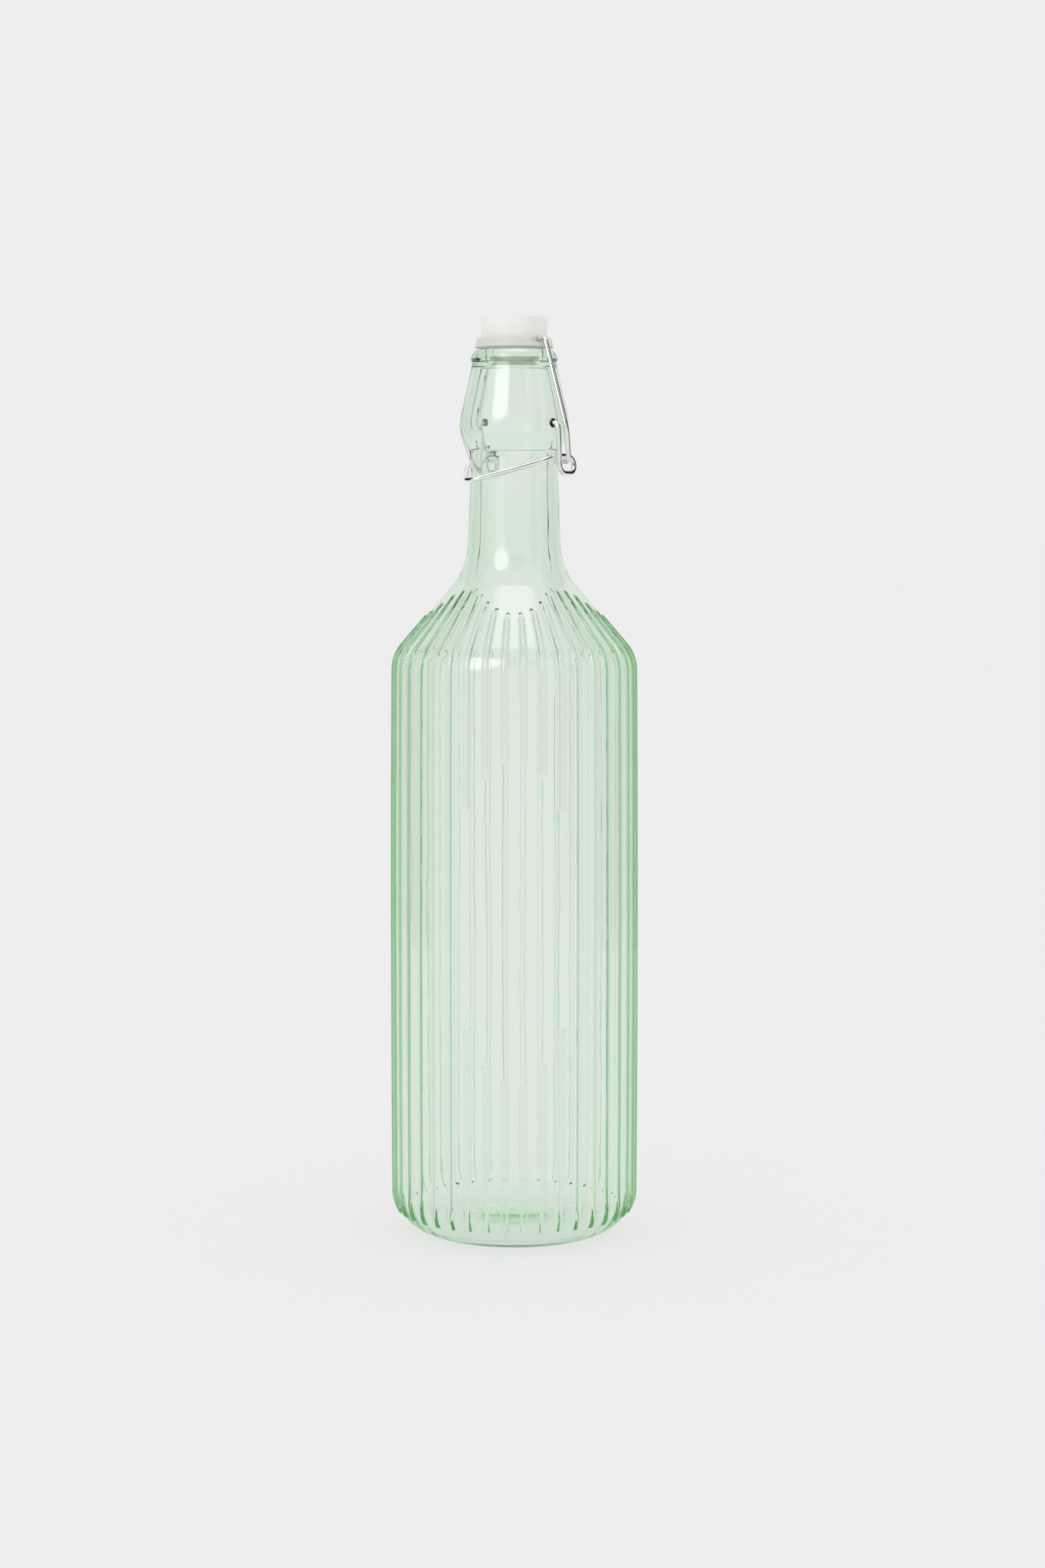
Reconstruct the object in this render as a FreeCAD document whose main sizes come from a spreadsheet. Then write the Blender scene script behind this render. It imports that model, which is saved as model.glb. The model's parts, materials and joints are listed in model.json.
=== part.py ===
"""Swing top bottle: ribbed glass bottle, lever wire, bail wire, stopper cap and gasket.

Millimetres. The origin is on the table under the bottle's axis and +Z is up. The lever pivots about an
axis along X, and its thumb handle is at the front, on the -Y side.
"""
import FreeCAD, Part
import math
import os
import Sketcher

V = FreeCAD.Vector
Z_AXIS = V(0, 0, 1)

doc = FreeCAD.newDocument("SwingTopBottle")
dims = doc.addObject("Spreadsheet::Sheet", "dims")

# Driving dimensions: millimetres, and degrees where the name ends in lean, draft, slope or angle
SIZES = {
    # glass, outside
    "body_radius": 41.6,
    "shoulder_height": 197.7,
    "heel_round": 14.0,
    "contact_width": 3.6,
    "punt_rise": 5.0,
    "shoulder_lean": 40.7,
    "shoulder_round": 13.0,
    "neck_radius": 14.6,
    "neck_draft": 2.3,
    "neck_round": 24.0,
    "neck_length": 70.3,
    "ledge_rise": 0.6,
    "ledge_width": 1.6,
    "collar_swell": 3.95,
    "collar_rise": 7.5,
    "collar_band": 0.5,
    "collar_round": 20.0,
    "collar_lean": 12.95,
    "throat_groove": 0.5,
    "throat_rise": 20.8,
    "lip_radius": 14.8,
    "lip_rise": 0.7,
    "lip_bead": 4.7,
    "lip_round": 1.4,
    # glass, inside
    "wall": 3.2,
    "finish_wall": 4.3,
    "chamber_wall": 5.2,
    "chamber_rise": 2.5,
    "bore_radius": 7.5,
    "bore_round": 1.2,
    "base_thickness": 4.0,
    "inner_heel_round": 11.0,
    "inner_shoulder_round": 9.0,
    "inner_neck_round": 18.0,
    # ribs and the plain window in front
    "rib_width": 3.2,
    "rib_rise": 0.9,
    "rib_start_angle": 40.0,
    "rib_top_gap": 1.0,
    "rib_top_wave": 4.0,
    "window_foot": 57.0,
    "window_head": 31.7,
    "window_half_angle": 31.0,
    # wires and sockets
    "wire_radius": 0.9,
    "pivot_rise": 0.9,
    "pivot_clearance": 0.08,
    "socket_depth": 3.0,
    "socket_mouth": 1.0,
    "socket_gap": 1.45,
    "wire_gap": 0.3,
    "bend_radius": 2.2,
    "eye_gap": 1.6,
    "eye_radius": 2.95,
    "eye_flat": 0.1,
    "eye_front": 0.8,
    "eye_length": 7.8,
    "eye_drift": 0.5,
    "saddle_back": 1.0,
    "saddle_bend": 8.0,
    "handle_slope": 20.5,
    "handle_gap": 1.1,
    "knuckle_lead": 6.5,
    "knuckle_bend": 25.0,
    "tip_half_width": 2.0,
    "tip_lead": 21.0,
    "tip_bend": 3.8,
    "hook_back": 3.0,
    "hook_reach": 1.4,
    "knee_swell": 2.3,
    "knee_lead": 0.6,
    "knee_drop": 1.7,
    "knee_bend": 8.0,
    "bail_top_gap": 1.15,
    # stopper and gasket
    "seal_gap": 0.3,
    "gasket_thickness": 1.0,
    "gasket_step": 1.4,
    "gasket_draft_width": 0.5,
    "gasket_clearance": 0.1,
    "cross_bore_rise": 2.1,
    "flange_inset": 1.3,
    "flange_taper": 0.9,
    "flange_drop": 0.5,
    "flange_thickness": 2.9,
    "drum_step": 1.4,
    "drum_rise": 7.3,
    "drum_round": 1.6,
    "crown_rise": 0.35,
    "stem_clearance": 1.3,
    "stem_depth": 1.5,
    "stem_round": 0.6,
    "pocket_width": 8.2,
    "pocket_drop": 1.1,
    "pocket_depth": 1.9,
}

# Sizes worked out from the driving ones, as formulas in the same sheet
FORMULAS = {
    # heights up the glass
    "finish_height": "shoulder_height + neck_length",
    "ledge_height": "finish_height + ledge_rise",
    "collar_low": "finish_height + collar_rise",
    "collar_high": "collar_low + collar_band",
    "taper_height": "collar_high + collar_round * sin(collar_lean)",
    "throat_height": "collar_high + throat_rise",
    "lip_low": "throat_height + lip_rise",
    "lip_height": "throat_height + lip_bead",
    "lip_edge": "lip_height - lip_round",
    # outside of the glass
    "heel_centre": "body_radius - heel_round",
    "contact_radius": "heel_centre - contact_width",
    "punt_round": "(contact_radius ^ 2 + punt_rise ^ 2) / (2 * punt_rise)",
    "corner_reach": "shoulder_round * tan(shoulder_lean / 2)",
    "corner_low": "shoulder_height - corner_reach",
    "corner_top": "shoulder_height + corner_reach * cos(shoulder_lean)",
    "corner_top_radius": "body_radius - corner_reach * sin(shoulder_lean)",
    "neck_turn": "shoulder_lean - neck_draft",
    "neck_reach": "neck_round * tan(neck_turn / 2)",
    "neck_foot": "(body_radius - neck_radius + shoulder_height * tan(shoulder_lean)"
                 " - finish_height * tan(neck_draft)) / (tan(shoulder_lean) - tan(neck_draft))",
    "neck_foot_radius": "neck_radius + (finish_height - neck_foot) * tan(neck_draft)",
    "cone_top": "neck_foot - neck_reach * cos(shoulder_lean)",
    "cone_top_radius": "neck_foot_radius + neck_reach * sin(shoulder_lean)",
    "neck_low": "neck_foot + neck_reach * cos(neck_draft)",
    "neck_low_radius": "neck_foot_radius - neck_reach * sin(neck_draft)",
    "ledge_radius": "neck_radius + ledge_width",
    "collar_radius": "neck_radius + collar_swell",
    "taper_radius": "collar_radius - collar_round * (1 - cos(collar_lean))",
    "throat_radius": "lip_radius - throat_groove",
    "lip_top_radius": "lip_radius - lip_round",
    "collar_low_round": "((collar_low - ledge_height) ^ 2 + (collar_radius - ledge_radius) ^ 2)"
                        " / (2 * (collar_radius - ledge_radius))",
    # inside of the glass
    "inner_radius": "body_radius - wall",
    "inner_floor": "base_thickness + punt_rise",
    "inner_heel_radius": "inner_radius - inner_heel_round",
    "inner_heel_top": "base_thickness + inner_heel_round",
    "inner_corner": "shoulder_height - wall * tan(shoulder_lean / 2)",
    "inner_corner_reach": "inner_shoulder_round * tan(shoulder_lean / 2)",
    "inner_corner_low": "inner_corner - inner_corner_reach",
    "inner_corner_top": "inner_corner + inner_corner_reach * cos(shoulder_lean)",
    "inner_corner_radius": "inner_radius - inner_corner_reach * sin(shoulder_lean)",
    "neck_bore": "neck_radius - finish_wall",
    "inner_neck_foot": "inner_corner + (inner_radius - neck_bore) / tan(shoulder_lean)",
    "inner_neck_reach": "inner_neck_round * tan(shoulder_lean / 2)",
    "inner_cone_top": "inner_neck_foot - inner_neck_reach * cos(shoulder_lean)",
    "inner_cone_radius": "neck_bore + inner_neck_reach * sin(shoulder_lean)",
    "inner_neck_low": "inner_neck_foot + inner_neck_reach",
    "chamber_radius": "collar_radius - chamber_wall",
    "chamber_top": "collar_high + chamber_rise",
    "inner_throat_radius": "throat_radius - finish_wall",
    "inner_throat_height": "throat_height - finish_wall",
    "mouth_radius": "bore_radius + bore_round",
    "mouth_height": "lip_height - bore_round",
    "mouth_clear": "lip_height + bore_round",
    # ribs and the plain window in front
    "rib_top_radius": "cone_top_radius + rib_top_gap + rib_top_wave",
    "window_top": "shoulder_height - window_head",
    "window_height": "(window_foot + window_top) / 2",
    "window_half_height": "(window_top - window_foot) / 2",
    # stopper and gasket
    "flange_low_radius": "lip_radius - flange_inset",
    "flange_top_radius": "flange_low_radius - flange_taper",
    "stem_radius": "bore_radius - stem_clearance",
    "gasket_low": "lip_height + seal_gap",
    "gasket_top": "gasket_low + gasket_thickness",
    "gasket_radius": "flange_low_radius - gasket_step",
    "gasket_low_radius": "gasket_radius - gasket_draft_width",
    "gasket_bore": "stem_radius + gasket_clearance",
    "stem_low": "lip_height - stem_depth",
    "stem_edge": "stem_low + stem_round",
    "stem_low_radius": "stem_radius - stem_round",
    "recess_radius": "gasket_radius + gasket_clearance",
    "recess_low_radius": "recess_radius + gasket_draft_width",
    "flange_low": "gasket_top - flange_drop",
    "flange_height": "gasket_top + flange_thickness",
    "drum_radius": "flange_top_radius - drum_step",
    "drum_height": "flange_height + drum_rise",
    "drum_shoulder": "drum_height - crown_rise",
    "drum_edge": "drum_shoulder - drum_round",
    "drum_top_radius": "drum_radius - drum_round",
    "crown_round": "(drum_top_radius ^ 2 + crown_rise ^ 2) / (2 * crown_rise)",
    "cross_bore_height": "gasket_top + cross_bore_rise",
    "pocket_low": "cross_bore_height - pocket_drop",
    "pocket_height": "flange_height - pocket_low + pocket_drop",
    # wires and sockets
    "pivot_height": "collar_low + pivot_rise",
    "hole_radius": "wire_radius + pivot_clearance",
    "socket_floor": "collar_radius - socket_depth",
    "socket_mouth_radius": "hole_radius + socket_mouth",
    "pin_end": "socket_floor + wire_gap",
    "leg_offset": "collar_radius + socket_gap + wire_radius",
    "handle_offset": "leg_offset - 2 * wire_radius - wire_gap",
    "bail_offset": "leg_offset + 2 * wire_radius + wire_gap",
    "eye_top": "finish_height - eye_gap - wire_radius",
    "eye_low": "eye_top - 2 * eye_radius",
    "eye_rear": "eye_front + eye_length",
    "eye_low_offset": "leg_offset - eye_drift",
    "eye_top_offset": "handle_offset + eye_drift",
    "eye_bend": "eye_radius - eye_flat",
    "knuckle_offset": "neck_radius + handle_gap + wire_radius",
    "hook_height": "eye_top - 2 * wire_radius - wire_gap",
    "hook_end": "handle_offset - wire_radius - hook_reach",
    "knee_offset": "bail_offset + knee_swell",
    "knee_height": "pivot_height - knee_drop",
    "bail_top_offset": "flange_low_radius + bail_top_gap",
}

# Counts and angles of the rib pattern
RIB_COUNT = 40
RIB_WAVES = 4
WINDOW_AZIMUTH = -45.0


def fill_sheet():
    """Writes the driving sizes and the formulas, one alias a row."""
    row = 1
    for alias, value in list(SIZES.items()) + list(FORMULAS.items()):
        text = "=" + value if isinstance(value, str) else str(value)
        dims.set("A%d" % row, alias)
        dims.set("B%d" % row, text)
        dims.setAlias("B%d" % row, alias)
        row += 1
    doc.recompute()


def size(alias):
    return float(dims.get(alias))


def origin_plane(body, role):
    return next(plane for plane in body.Origin.OriginFeatures if plane.Role == role)


def new_body(label):
    body = doc.addObject("PartDesign::Body", label)
    body.Label = label
    return body


def new_sketch(body, name, role):
    """An empty sketch on one of the body's own origin planes."""
    sketch = body.newObject("Sketcher::SketchObject", name)
    sketch.AttachmentSupport = [(origin_plane(body, role), "")]
    sketch.MapMode = "FlatFace"
    return sketch


def bind(sketch, constraint, formula):
    """Adds a dimension to a sketch and ties it to the sheet."""
    index = sketch.addConstraint(constraint)
    sketch.setExpression("Constraints[%d]" % index, formula)


def arc_between(start, end, radius):
    """The arc of under a half circle; a positive radius bulges to the right of the way it runs."""
    chord = end - start
    half = chord.Length / 2
    side = V(chord.y, -chord.x, 0).normalize() * math.copysign(1, radius)
    middle = start + chord * 0.5 + side * (abs(radius) - math.sqrt(radius ** 2 - half ** 2))
    return Part.Arc(start, middle, end)


def outline(body, name, points):
    """A closed half section in the XZ plane.

    Each point is (radius alias, height alias, bend), with None for a point on the axis or on the table.
    Bend names the round of the arc that runs on to the next point, with a minus sign where it bulges to
    the left, and is None where a straight edge does.
    """
    sketch = new_sketch(body, name, "XZ_Plane")
    places = [V(size(across) if across else 0, size(up) if up else 0, 0) for across, up, bend in points]
    count = len(points)
    for index, (across, up, bend) in enumerate(points):
        start, end = places[index], places[(index + 1) % count]
        if bend is None:
            sketch.addGeometry(Part.LineSegment(start, end), False)
        else:
            radius = size(bend.lstrip("-")) * (-1 if bend.startswith("-") else 1)
            sketch.addGeometry(arc_between(start, end, radius), False)
    for index, (across, up, bend) in enumerate(points):
        first, last = edge_ends(sketch, index, places[index])
        follower = edge_ends(sketch, (index + 1) % count, places[(index + 1) % count])[0]
        sketch.addConstraint(Sketcher.Constraint("Coincident", index, last, (index + 1) % count, follower))
        place_end(sketch, "DistanceX", index, first, across)
        place_end(sketch, "DistanceY", index, first, up)
        if bend is not None:
            alias = bend.lstrip("-")
            bind(sketch, Sketcher.Constraint("Radius", index, size(alias)), "dims." + alias)
    return sketch


def place_end(sketch, kind, edge, end, alias):
    """Holds an edge's end at a size from the sheet, or in line with the origin where there is none."""
    origin_point = (-1, 1)  # how constraints number a sketch's own origin
    if alias is None:
        in_line = "Vertical" if kind == "DistanceX" else "Horizontal"
        sketch.addConstraint(Sketcher.Constraint(in_line, *origin_point, edge, end))
    else:
        bind(sketch, Sketcher.Constraint(kind, *origin_point, edge, end, size(alias)), "dims." + alias)


def edge_ends(sketch, index, place):
    """Which end of a sketch edge lies at place, and which is the other one."""
    near = (sketch.getPoint(index, 1) - place).Length < (sketch.getPoint(index, 2) - place).Length
    return (1, 2) if near else (2, 1)


def revolve(body, sketch, name):
    feature = body.newObject("PartDesign::Revolution", name)
    feature.Profile = sketch
    feature.ReferenceAxis = (sketch, ["V_Axis"])
    feature.Angle = 360
    sketch.Visibility = False
    return feature


def bent_path(points, radii):
    """A wire of straight runs joined by tangent arcs; radii are for the inner points."""
    edges = []
    start = points[0]
    for before, corner, after, radius in zip(points, points[1:], points[2:], radii):
        back = (before - corner).normalize()
        ahead = (after - corner).normalize()
        half_turn = back.getAngle(ahead) / 2
        reach = radius / math.tan(half_turn)
        inward = (back + ahead).normalize()
        enter, leave = corner + back * reach, corner + ahead * reach
        middle = corner + inward * (radius / math.sin(half_turn) - radius)
        edges.append(Part.LineSegment(start, enter).toShape())
        edges.append(Part.Arc(enter, middle, leave).toShape())
        start = leave
    edges.append(Part.LineSegment(start, points[-1]).toShape())
    return Part.Wire(edges)


def bent_wire(label, points, radii):
    """A round wire swept along a bent path."""
    spine = doc.addObject("Part::Feature", label + "_path")
    spine.Shape = bent_path(points, radii)
    section = doc.addObject("Part::Circle", label + "_section")
    section.setExpression("Radius", "dims.wire_radius")
    section.Placement = FreeCAD.Placement(points[0], FreeCAD.Rotation(Z_AXIS, points[1] - points[0]))
    wire = doc.addObject("Part::Sweep", label)
    wire.Label = label
    wire.Sections = [section]
    wire.Spine = (spine, ["Edge%d" % (number + 1) for number in range(len(spine.Shape.Edges))])
    wire.Solid = True
    wire.Frenet = False
    return wire


def point(across, back, up):
    """A point from three sheet names, with None for a coordinate that is 0."""
    return V(*(size(alias) if alias else 0 for alias in (across, back, up)))


def mirrored(points):
    """A half path's points followed by their mirror images across the YZ plane."""
    return points + [V(-place.x, place.y, place.z) for place in reversed(points)]


def boolean(kind, label, **links):
    """A boolean of document objects, such as a cut or a fusion."""
    result = doc.addObject(kind, label)
    result.Label = label
    for name, value in links.items():
        setattr(result, name, value)
    return result


def turned(label, points):
    """A body turned about the Z axis from its half section."""
    body = new_body(label)
    revolve(body, outline(body, label + "_section", points), label + "_revolution")
    return body


def make_glass_outside():
    """The glass as if it were solid: punt, heel, body, shoulder cone, neck, collar and lip bead."""
    return turned("glass_outside", [
        (None, "punt_rise", "-punt_round"),
        ("contact_radius", None, None),
        ("heel_centre", None, "heel_round"),
        ("body_radius", "heel_round", None),
        ("body_radius", "corner_low", "shoulder_round"),
        ("corner_top_radius", "corner_top", None),
        ("cone_top_radius", "cone_top", "-neck_round"),
        ("neck_low_radius", "neck_low", None),
        ("neck_radius", "finish_height", None),
        ("ledge_radius", "ledge_height", "collar_low_round"),
        ("collar_radius", "collar_low", None),
        ("collar_radius", "collar_high", "collar_round"),
        ("taper_radius", "taper_height", None),
        ("throat_radius", "throat_height", None),
        ("lip_radius", "lip_low", None),
        ("lip_radius", "lip_edge", "lip_round"),
        ("lip_top_radius", "lip_height", None),
        (None, "lip_height", None),
    ])


def make_hollow():
    """The space inside the glass, up through the neck and the bulged finish and out of the mouth."""
    return turned("hollow", [
        (None, "inner_floor", None),
        ("inner_heel_radius", "base_thickness", "inner_heel_round"),
        ("inner_radius", "inner_heel_top", None),
        ("inner_radius", "inner_corner_low", "inner_shoulder_round"),
        ("inner_corner_radius", "inner_corner_top", None),
        ("inner_cone_radius", "inner_cone_top", "-inner_neck_round"),
        ("neck_bore", "inner_neck_low", None),
        ("neck_bore", "finish_height", None),
        ("chamber_radius", "collar_low", None),
        ("chamber_radius", "chamber_top", None),
        ("inner_throat_radius", "inner_throat_height", None),
        ("bore_radius", "throat_height", None),
        ("bore_radius", "mouth_height", "-bore_round"),
        ("mouth_radius", "lip_height", None),
        ("mouth_radius", "mouth_clear", None),
        (None, "mouth_clear", None),
    ])


def rib_bead(width, rise):
    """Radius of a round bead that stands rise above a surface over width, and its centre's depth."""
    radius = ((width / 2) ** 2 + rise ** 2) / (2 * rise)
    return radius, radius - rise


def pipe(edges, radius):
    """A round bar along a chain of edges."""
    path = Part.Wire(edges)
    first = edges[0]
    start, ahead = first.valueAt(first.FirstParameter), first.tangentAt(first.FirstParameter)
    return path.makePipeShell([Part.Wire(Part.makeCircle(radius, start, ahead))], True, False)


def capped(solids, ends):
    """Joins the lengths of one rib and rounds its ends with balls of (centre, radius)."""
    balls = [Part.makeSphere(radius, centre) for centre, radius in ends]
    return solids[0].fuse(solids[1:] + balls)


def meridian(angle):
    """The direction that leans up from +X by an angle in radians, in the XZ plane."""
    return V(math.cos(angle), 0, math.sin(angle))


def rib_tip(turn, lean, sink):
    """A rib's top ball on the cone, on a scalloped line: its centre and radius."""
    wave = math.cos(math.radians(RIB_WAVES * turn))
    reach = size("rib_top_radius") + size("rib_top_wave") * wave
    height = size("shoulder_height") + (size("body_radius") - reach) / math.tan(lean)
    rise = size("rib_rise") * reach / size("body_radius")
    return V(reach, 0, height) - meridian(lean) * sink, sink + rise


def rib_solids(turn, window_half):
    """One rib in the XZ plane, or its two halves where the plain window interrupts it."""
    radius, sink = rib_bead(size("rib_width"), size("rib_rise"))
    lean = math.radians(size("shoulder_lean"))
    foot_angle = -math.radians(size("rib_start_angle"))
    heel, heel_bend = point("heel_centre", None, "heel_round"), size("heel_round") - sink
    corner = point("body_radius", None, "corner_low") - V(size("shoulder_round"), 0, 0)
    corner_bend = size("shoulder_round") - sink
    foot = heel + meridian(foot_angle) * heel_bend
    foot_middle = heel + meridian(foot_angle / 2) * heel_bend
    low = heel + V(heel_bend, 0, 0)
    high = corner + V(corner_bend, 0, 0)
    corner_middle = corner + meridian(lean / 2) * corner_bend
    corner_end = corner + meridian(lean) * corner_bend
    tip, tip_radius = rib_tip(turn, lean, sink)

    heel_arc = Part.Arc(foot, foot_middle, low).toShape()
    corner_arc = Part.Arc(high, corner_middle, corner_end).toShape()
    taper = Part.makeCone(radius, tip_radius, (tip - corner_end).Length, corner_end, tip - corner_end)
    if window_half is None:
        side = Part.LineSegment(low, high).toShape()
        bar = pipe([heel_arc, side, corner_arc], radius)
        return [capped([bar, taper], [(foot, radius), (tip, tip_radius)])]
    window_low = V(low.x, 0, size("window_height") - window_half)
    window_high = V(low.x, 0, size("window_height") + window_half)
    lower_bar = pipe([heel_arc, Part.LineSegment(low, window_low).toShape()], radius)
    upper_bar = pipe([Part.LineSegment(window_high, high).toShape(), corner_arc], radius)
    lower = capped([lower_bar], [(foot, radius), (window_low, radius)])
    upper = capped([upper_bar, taper], [(window_high, radius), (tip, tip_radius)])
    return [lower, upper]


def window_half(turn):
    """Half the height of the plain oval window at an angle from its middle, or None beyond its edge."""
    share = turn / size("window_half_angle")
    return size("window_half_height") * math.sqrt(1 - share ** 2) if share < 1 else None


def make_ribs():
    """All ribs, spread round the glass; those in front stop below and above the window."""
    pitch = 360 / RIB_COUNT
    solids = []
    for step in range(RIB_COUNT // (2 * RIB_WAVES)):
        turn = (step + 0.5) * pitch
        whole = rib_solids(turn, None)
        front = rib_solids(turn, window_half(turn))
        for wave in range(RIB_WAVES):
            for side in (-1, 1):
                azimuth = WINDOW_AZIMUTH + 360 / RIB_WAVES * wave + side * turn
                for solid in front if wave == 0 else whole:
                    placed = solid.copy()
                    placed.rotate(V(0, 0, 0), Z_AXIS, azimuth)
                    solids.append(placed)
    ribs = doc.addObject("Part::Feature", "ribs")
    ribs.Shape = Part.makeCompound(solids)
    return ribs


def make_socket(name, side):
    """A blind hole for the end of the lever wire, with a flared mouth, on the side 1 or -1 of X."""
    outward = FreeCAD.Rotation(Z_AXIS, V(side, 0, 0))
    hole = doc.addObject("Part::Cylinder", name + "_hole")
    hole.setExpression("Radius", "dims.hole_radius")
    hole.setExpression("Height", "dims.socket_depth")
    mouth = doc.addObject("Part::Cone", name + "_mouth")
    mouth.setExpression("Radius1", "dims.hole_radius")
    mouth.setExpression("Radius2", "dims.socket_mouth_radius")
    mouth.setExpression("Height", "dims.socket_mouth")
    starts = {hole: "dims.socket_floor", mouth: "dims.collar_radius - dims.socket_mouth"}
    for tool, start in starts.items():
        tool.Placement = FreeCAD.Placement(V(0, 0, 0), outward)
        tool.setExpression("Placement.Base.x", "%d * (%s)" % (side, start))
        tool.setExpression("Placement.Base.z", "dims.pivot_height")
    return [hole, mouth]


def make_bottle():
    ribbed = boolean("Part::MultiFuse", "ribbed_glass", Shapes=[make_glass_outside(), make_ribs()])
    tools = [make_hollow()] + make_socket("right_socket", 1) + make_socket("left_socket", -1)
    cavities = boolean("Part::MultiFuse", "cavities", Shapes=tools)
    return boolean("Part::Cut", "bottle", Base=ribbed, Tool=cavities)


def make_lever_wire():
    """Socket pin, leg, a turn round the eye, and the handle that runs to a blunt tip before the neck."""
    slope = math.tan(math.radians(size("handle_slope")))

    def on_handle(across, lead):
        """A point of the handle's plane, which slopes down to the front from the top of the eyes."""
        drop = (size(lead) + size("saddle_back")) * slope
        return V(size(across), -size(lead), size("eye_top") - drop)

    half = [
        point("pin_end", None, "pivot_height"),
        point("leg_offset", None, "pivot_height"),
        point("leg_offset", "eye_front", "eye_low"),
        point("eye_low_offset", "eye_rear", "eye_low"),
        point("eye_top_offset", "eye_rear", "eye_top"),
        point("handle_offset", "saddle_back", "eye_top"),
        on_handle("knuckle_offset", "knuckle_lead"),
        on_handle("tip_half_width", "tip_lead"),
    ]
    bends = [size(alias) for alias in ("bend_radius", "eye_bend", "eye_bend", "eye_bend",
                                       "saddle_bend", "knuckle_bend", "tip_bend")]
    return bent_wire("lever_wire", mirrored(half), bends + bends[::-1])


def make_bail_wire():
    """Hook through the eye, leg out to the knee, slant in to the stopper and straight through it."""
    half = [
        point("hook_end", "hook_back", "hook_height"),
        point("bail_offset", "hook_back", "hook_height"),
        V(size("knee_offset"), -size("knee_lead"), size("knee_height")),
        point("bail_top_offset", None, "cross_bore_height"),
    ]
    bends = [size(alias) for alias in ("bend_radius", "knee_bend", "bend_radius")]
    return bent_wire("bail_wire", mirrored(half), bends + bends[::-1])


def make_stopper_cap():
    """Drum on a flared flange with a gasket recess, a plug stem and a cross bore that ends in notches."""
    body = turned("stopper_turned", [
        (None, "stem_low", None),
        ("stem_low_radius", "stem_low", "stem_round"),
        ("stem_radius", "stem_edge", None),
        ("stem_radius", "gasket_top", None),
        ("recess_radius", "gasket_top", None),
        ("recess_low_radius", "flange_low", None),
        ("flange_low_radius", "flange_low", None),
        ("flange_top_radius", "flange_height", None),
        ("drum_radius", "flange_height", None),
        ("drum_radius", "drum_edge", "drum_round"),
        ("drum_top_radius", "drum_shoulder", "crown_round"),
        (None, "drum_height", None),
    ])
    cross_bore = doc.addObject("Part::Cylinder", "cross_bore")
    cross_bore.setExpression("Radius", "dims.hole_radius")
    cross_bore.setExpression("Height", "2 * dims.flange_low_radius")
    cross_bore.Placement = FreeCAD.Placement(V(0, 0, 0), FreeCAD.Rotation(Z_AXIS, V(1, 0, 0)))
    cross_bore.setExpression("Placement.Base.x", "-dims.flange_low_radius")
    cross_bore.setExpression("Placement.Base.z", "dims.cross_bore_height")
    tools = [cross_bore]
    for name, start in (("right_pocket", "dims.flange_low_radius - dims.pocket_depth"),
                        ("left_pocket", "-dims.flange_low_radius")):
        pocket = doc.addObject("Part::Box", name)
        pocket.setExpression("Length", "dims.pocket_depth")
        pocket.setExpression("Width", "dims.pocket_width")
        pocket.setExpression("Height", "dims.pocket_height")
        pocket.setExpression("Placement.Base.x", start)
        pocket.setExpression("Placement.Base.y", "-dims.pocket_width / 2")
        pocket.setExpression("Placement.Base.z", "dims.pocket_low")
        tools.append(pocket)
    openings = boolean("Part::MultiFuse", "stopper_openings", Shapes=tools)
    return boolean("Part::Cut", "stopper_cap", Base=body, Tool=openings)


def make_gasket():
    return turned("gasket", [
        ("gasket_bore", "gasket_low", None),
        ("gasket_low_radius", "gasket_low", None),
        ("gasket_radius", "gasket_top", None),
        ("gasket_bore", "gasket_top", None),
    ])


def check_document(pieces):
    """Stops if an object failed to build or a piece isn't one sound solid."""
    for item in doc.Objects:
        if "Invalid" in item.State or "Error" in item.State:
            raise RuntimeError("%s failed to build: %s" % (item.Name, item.State))
    for piece in pieces:
        if piece.Shape.isNull() or not piece.Shape.isValid() or len(piece.Shape.Solids) != 1:
            raise RuntimeError("%s isn't one sound solid" % piece.Label)


fill_sheet()
pieces = [make_bottle(), make_lever_wire(), make_bail_wire(), make_stopper_cap(), make_gasket()]
doc.recompute()
check_document(pieces)
os.makedirs("parts", exist_ok=True)
for piece in pieces:
    piece.Shape.exportStep("parts/%s.step" % piece.Label)
    print("%s: volume %.2f mm3" % (piece.Label, piece.Shape.Volume))
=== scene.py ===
"""Swing top bottle: ribbed green glass, two bent wires, a plastic stopper and its gasket.

Metres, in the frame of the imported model: the origin is on the table under the bottle's axis, +Z is up, and
the thumb handle of the lever is at the front, on the -Y side.
"""
import json
import math
from collections import namedtuple

import bmesh
import bpy
from bpy.props import FloatProperty, FloatVectorProperty, IntProperty, PointerProperty
from mathutils import Matrix, Vector, noise


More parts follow.
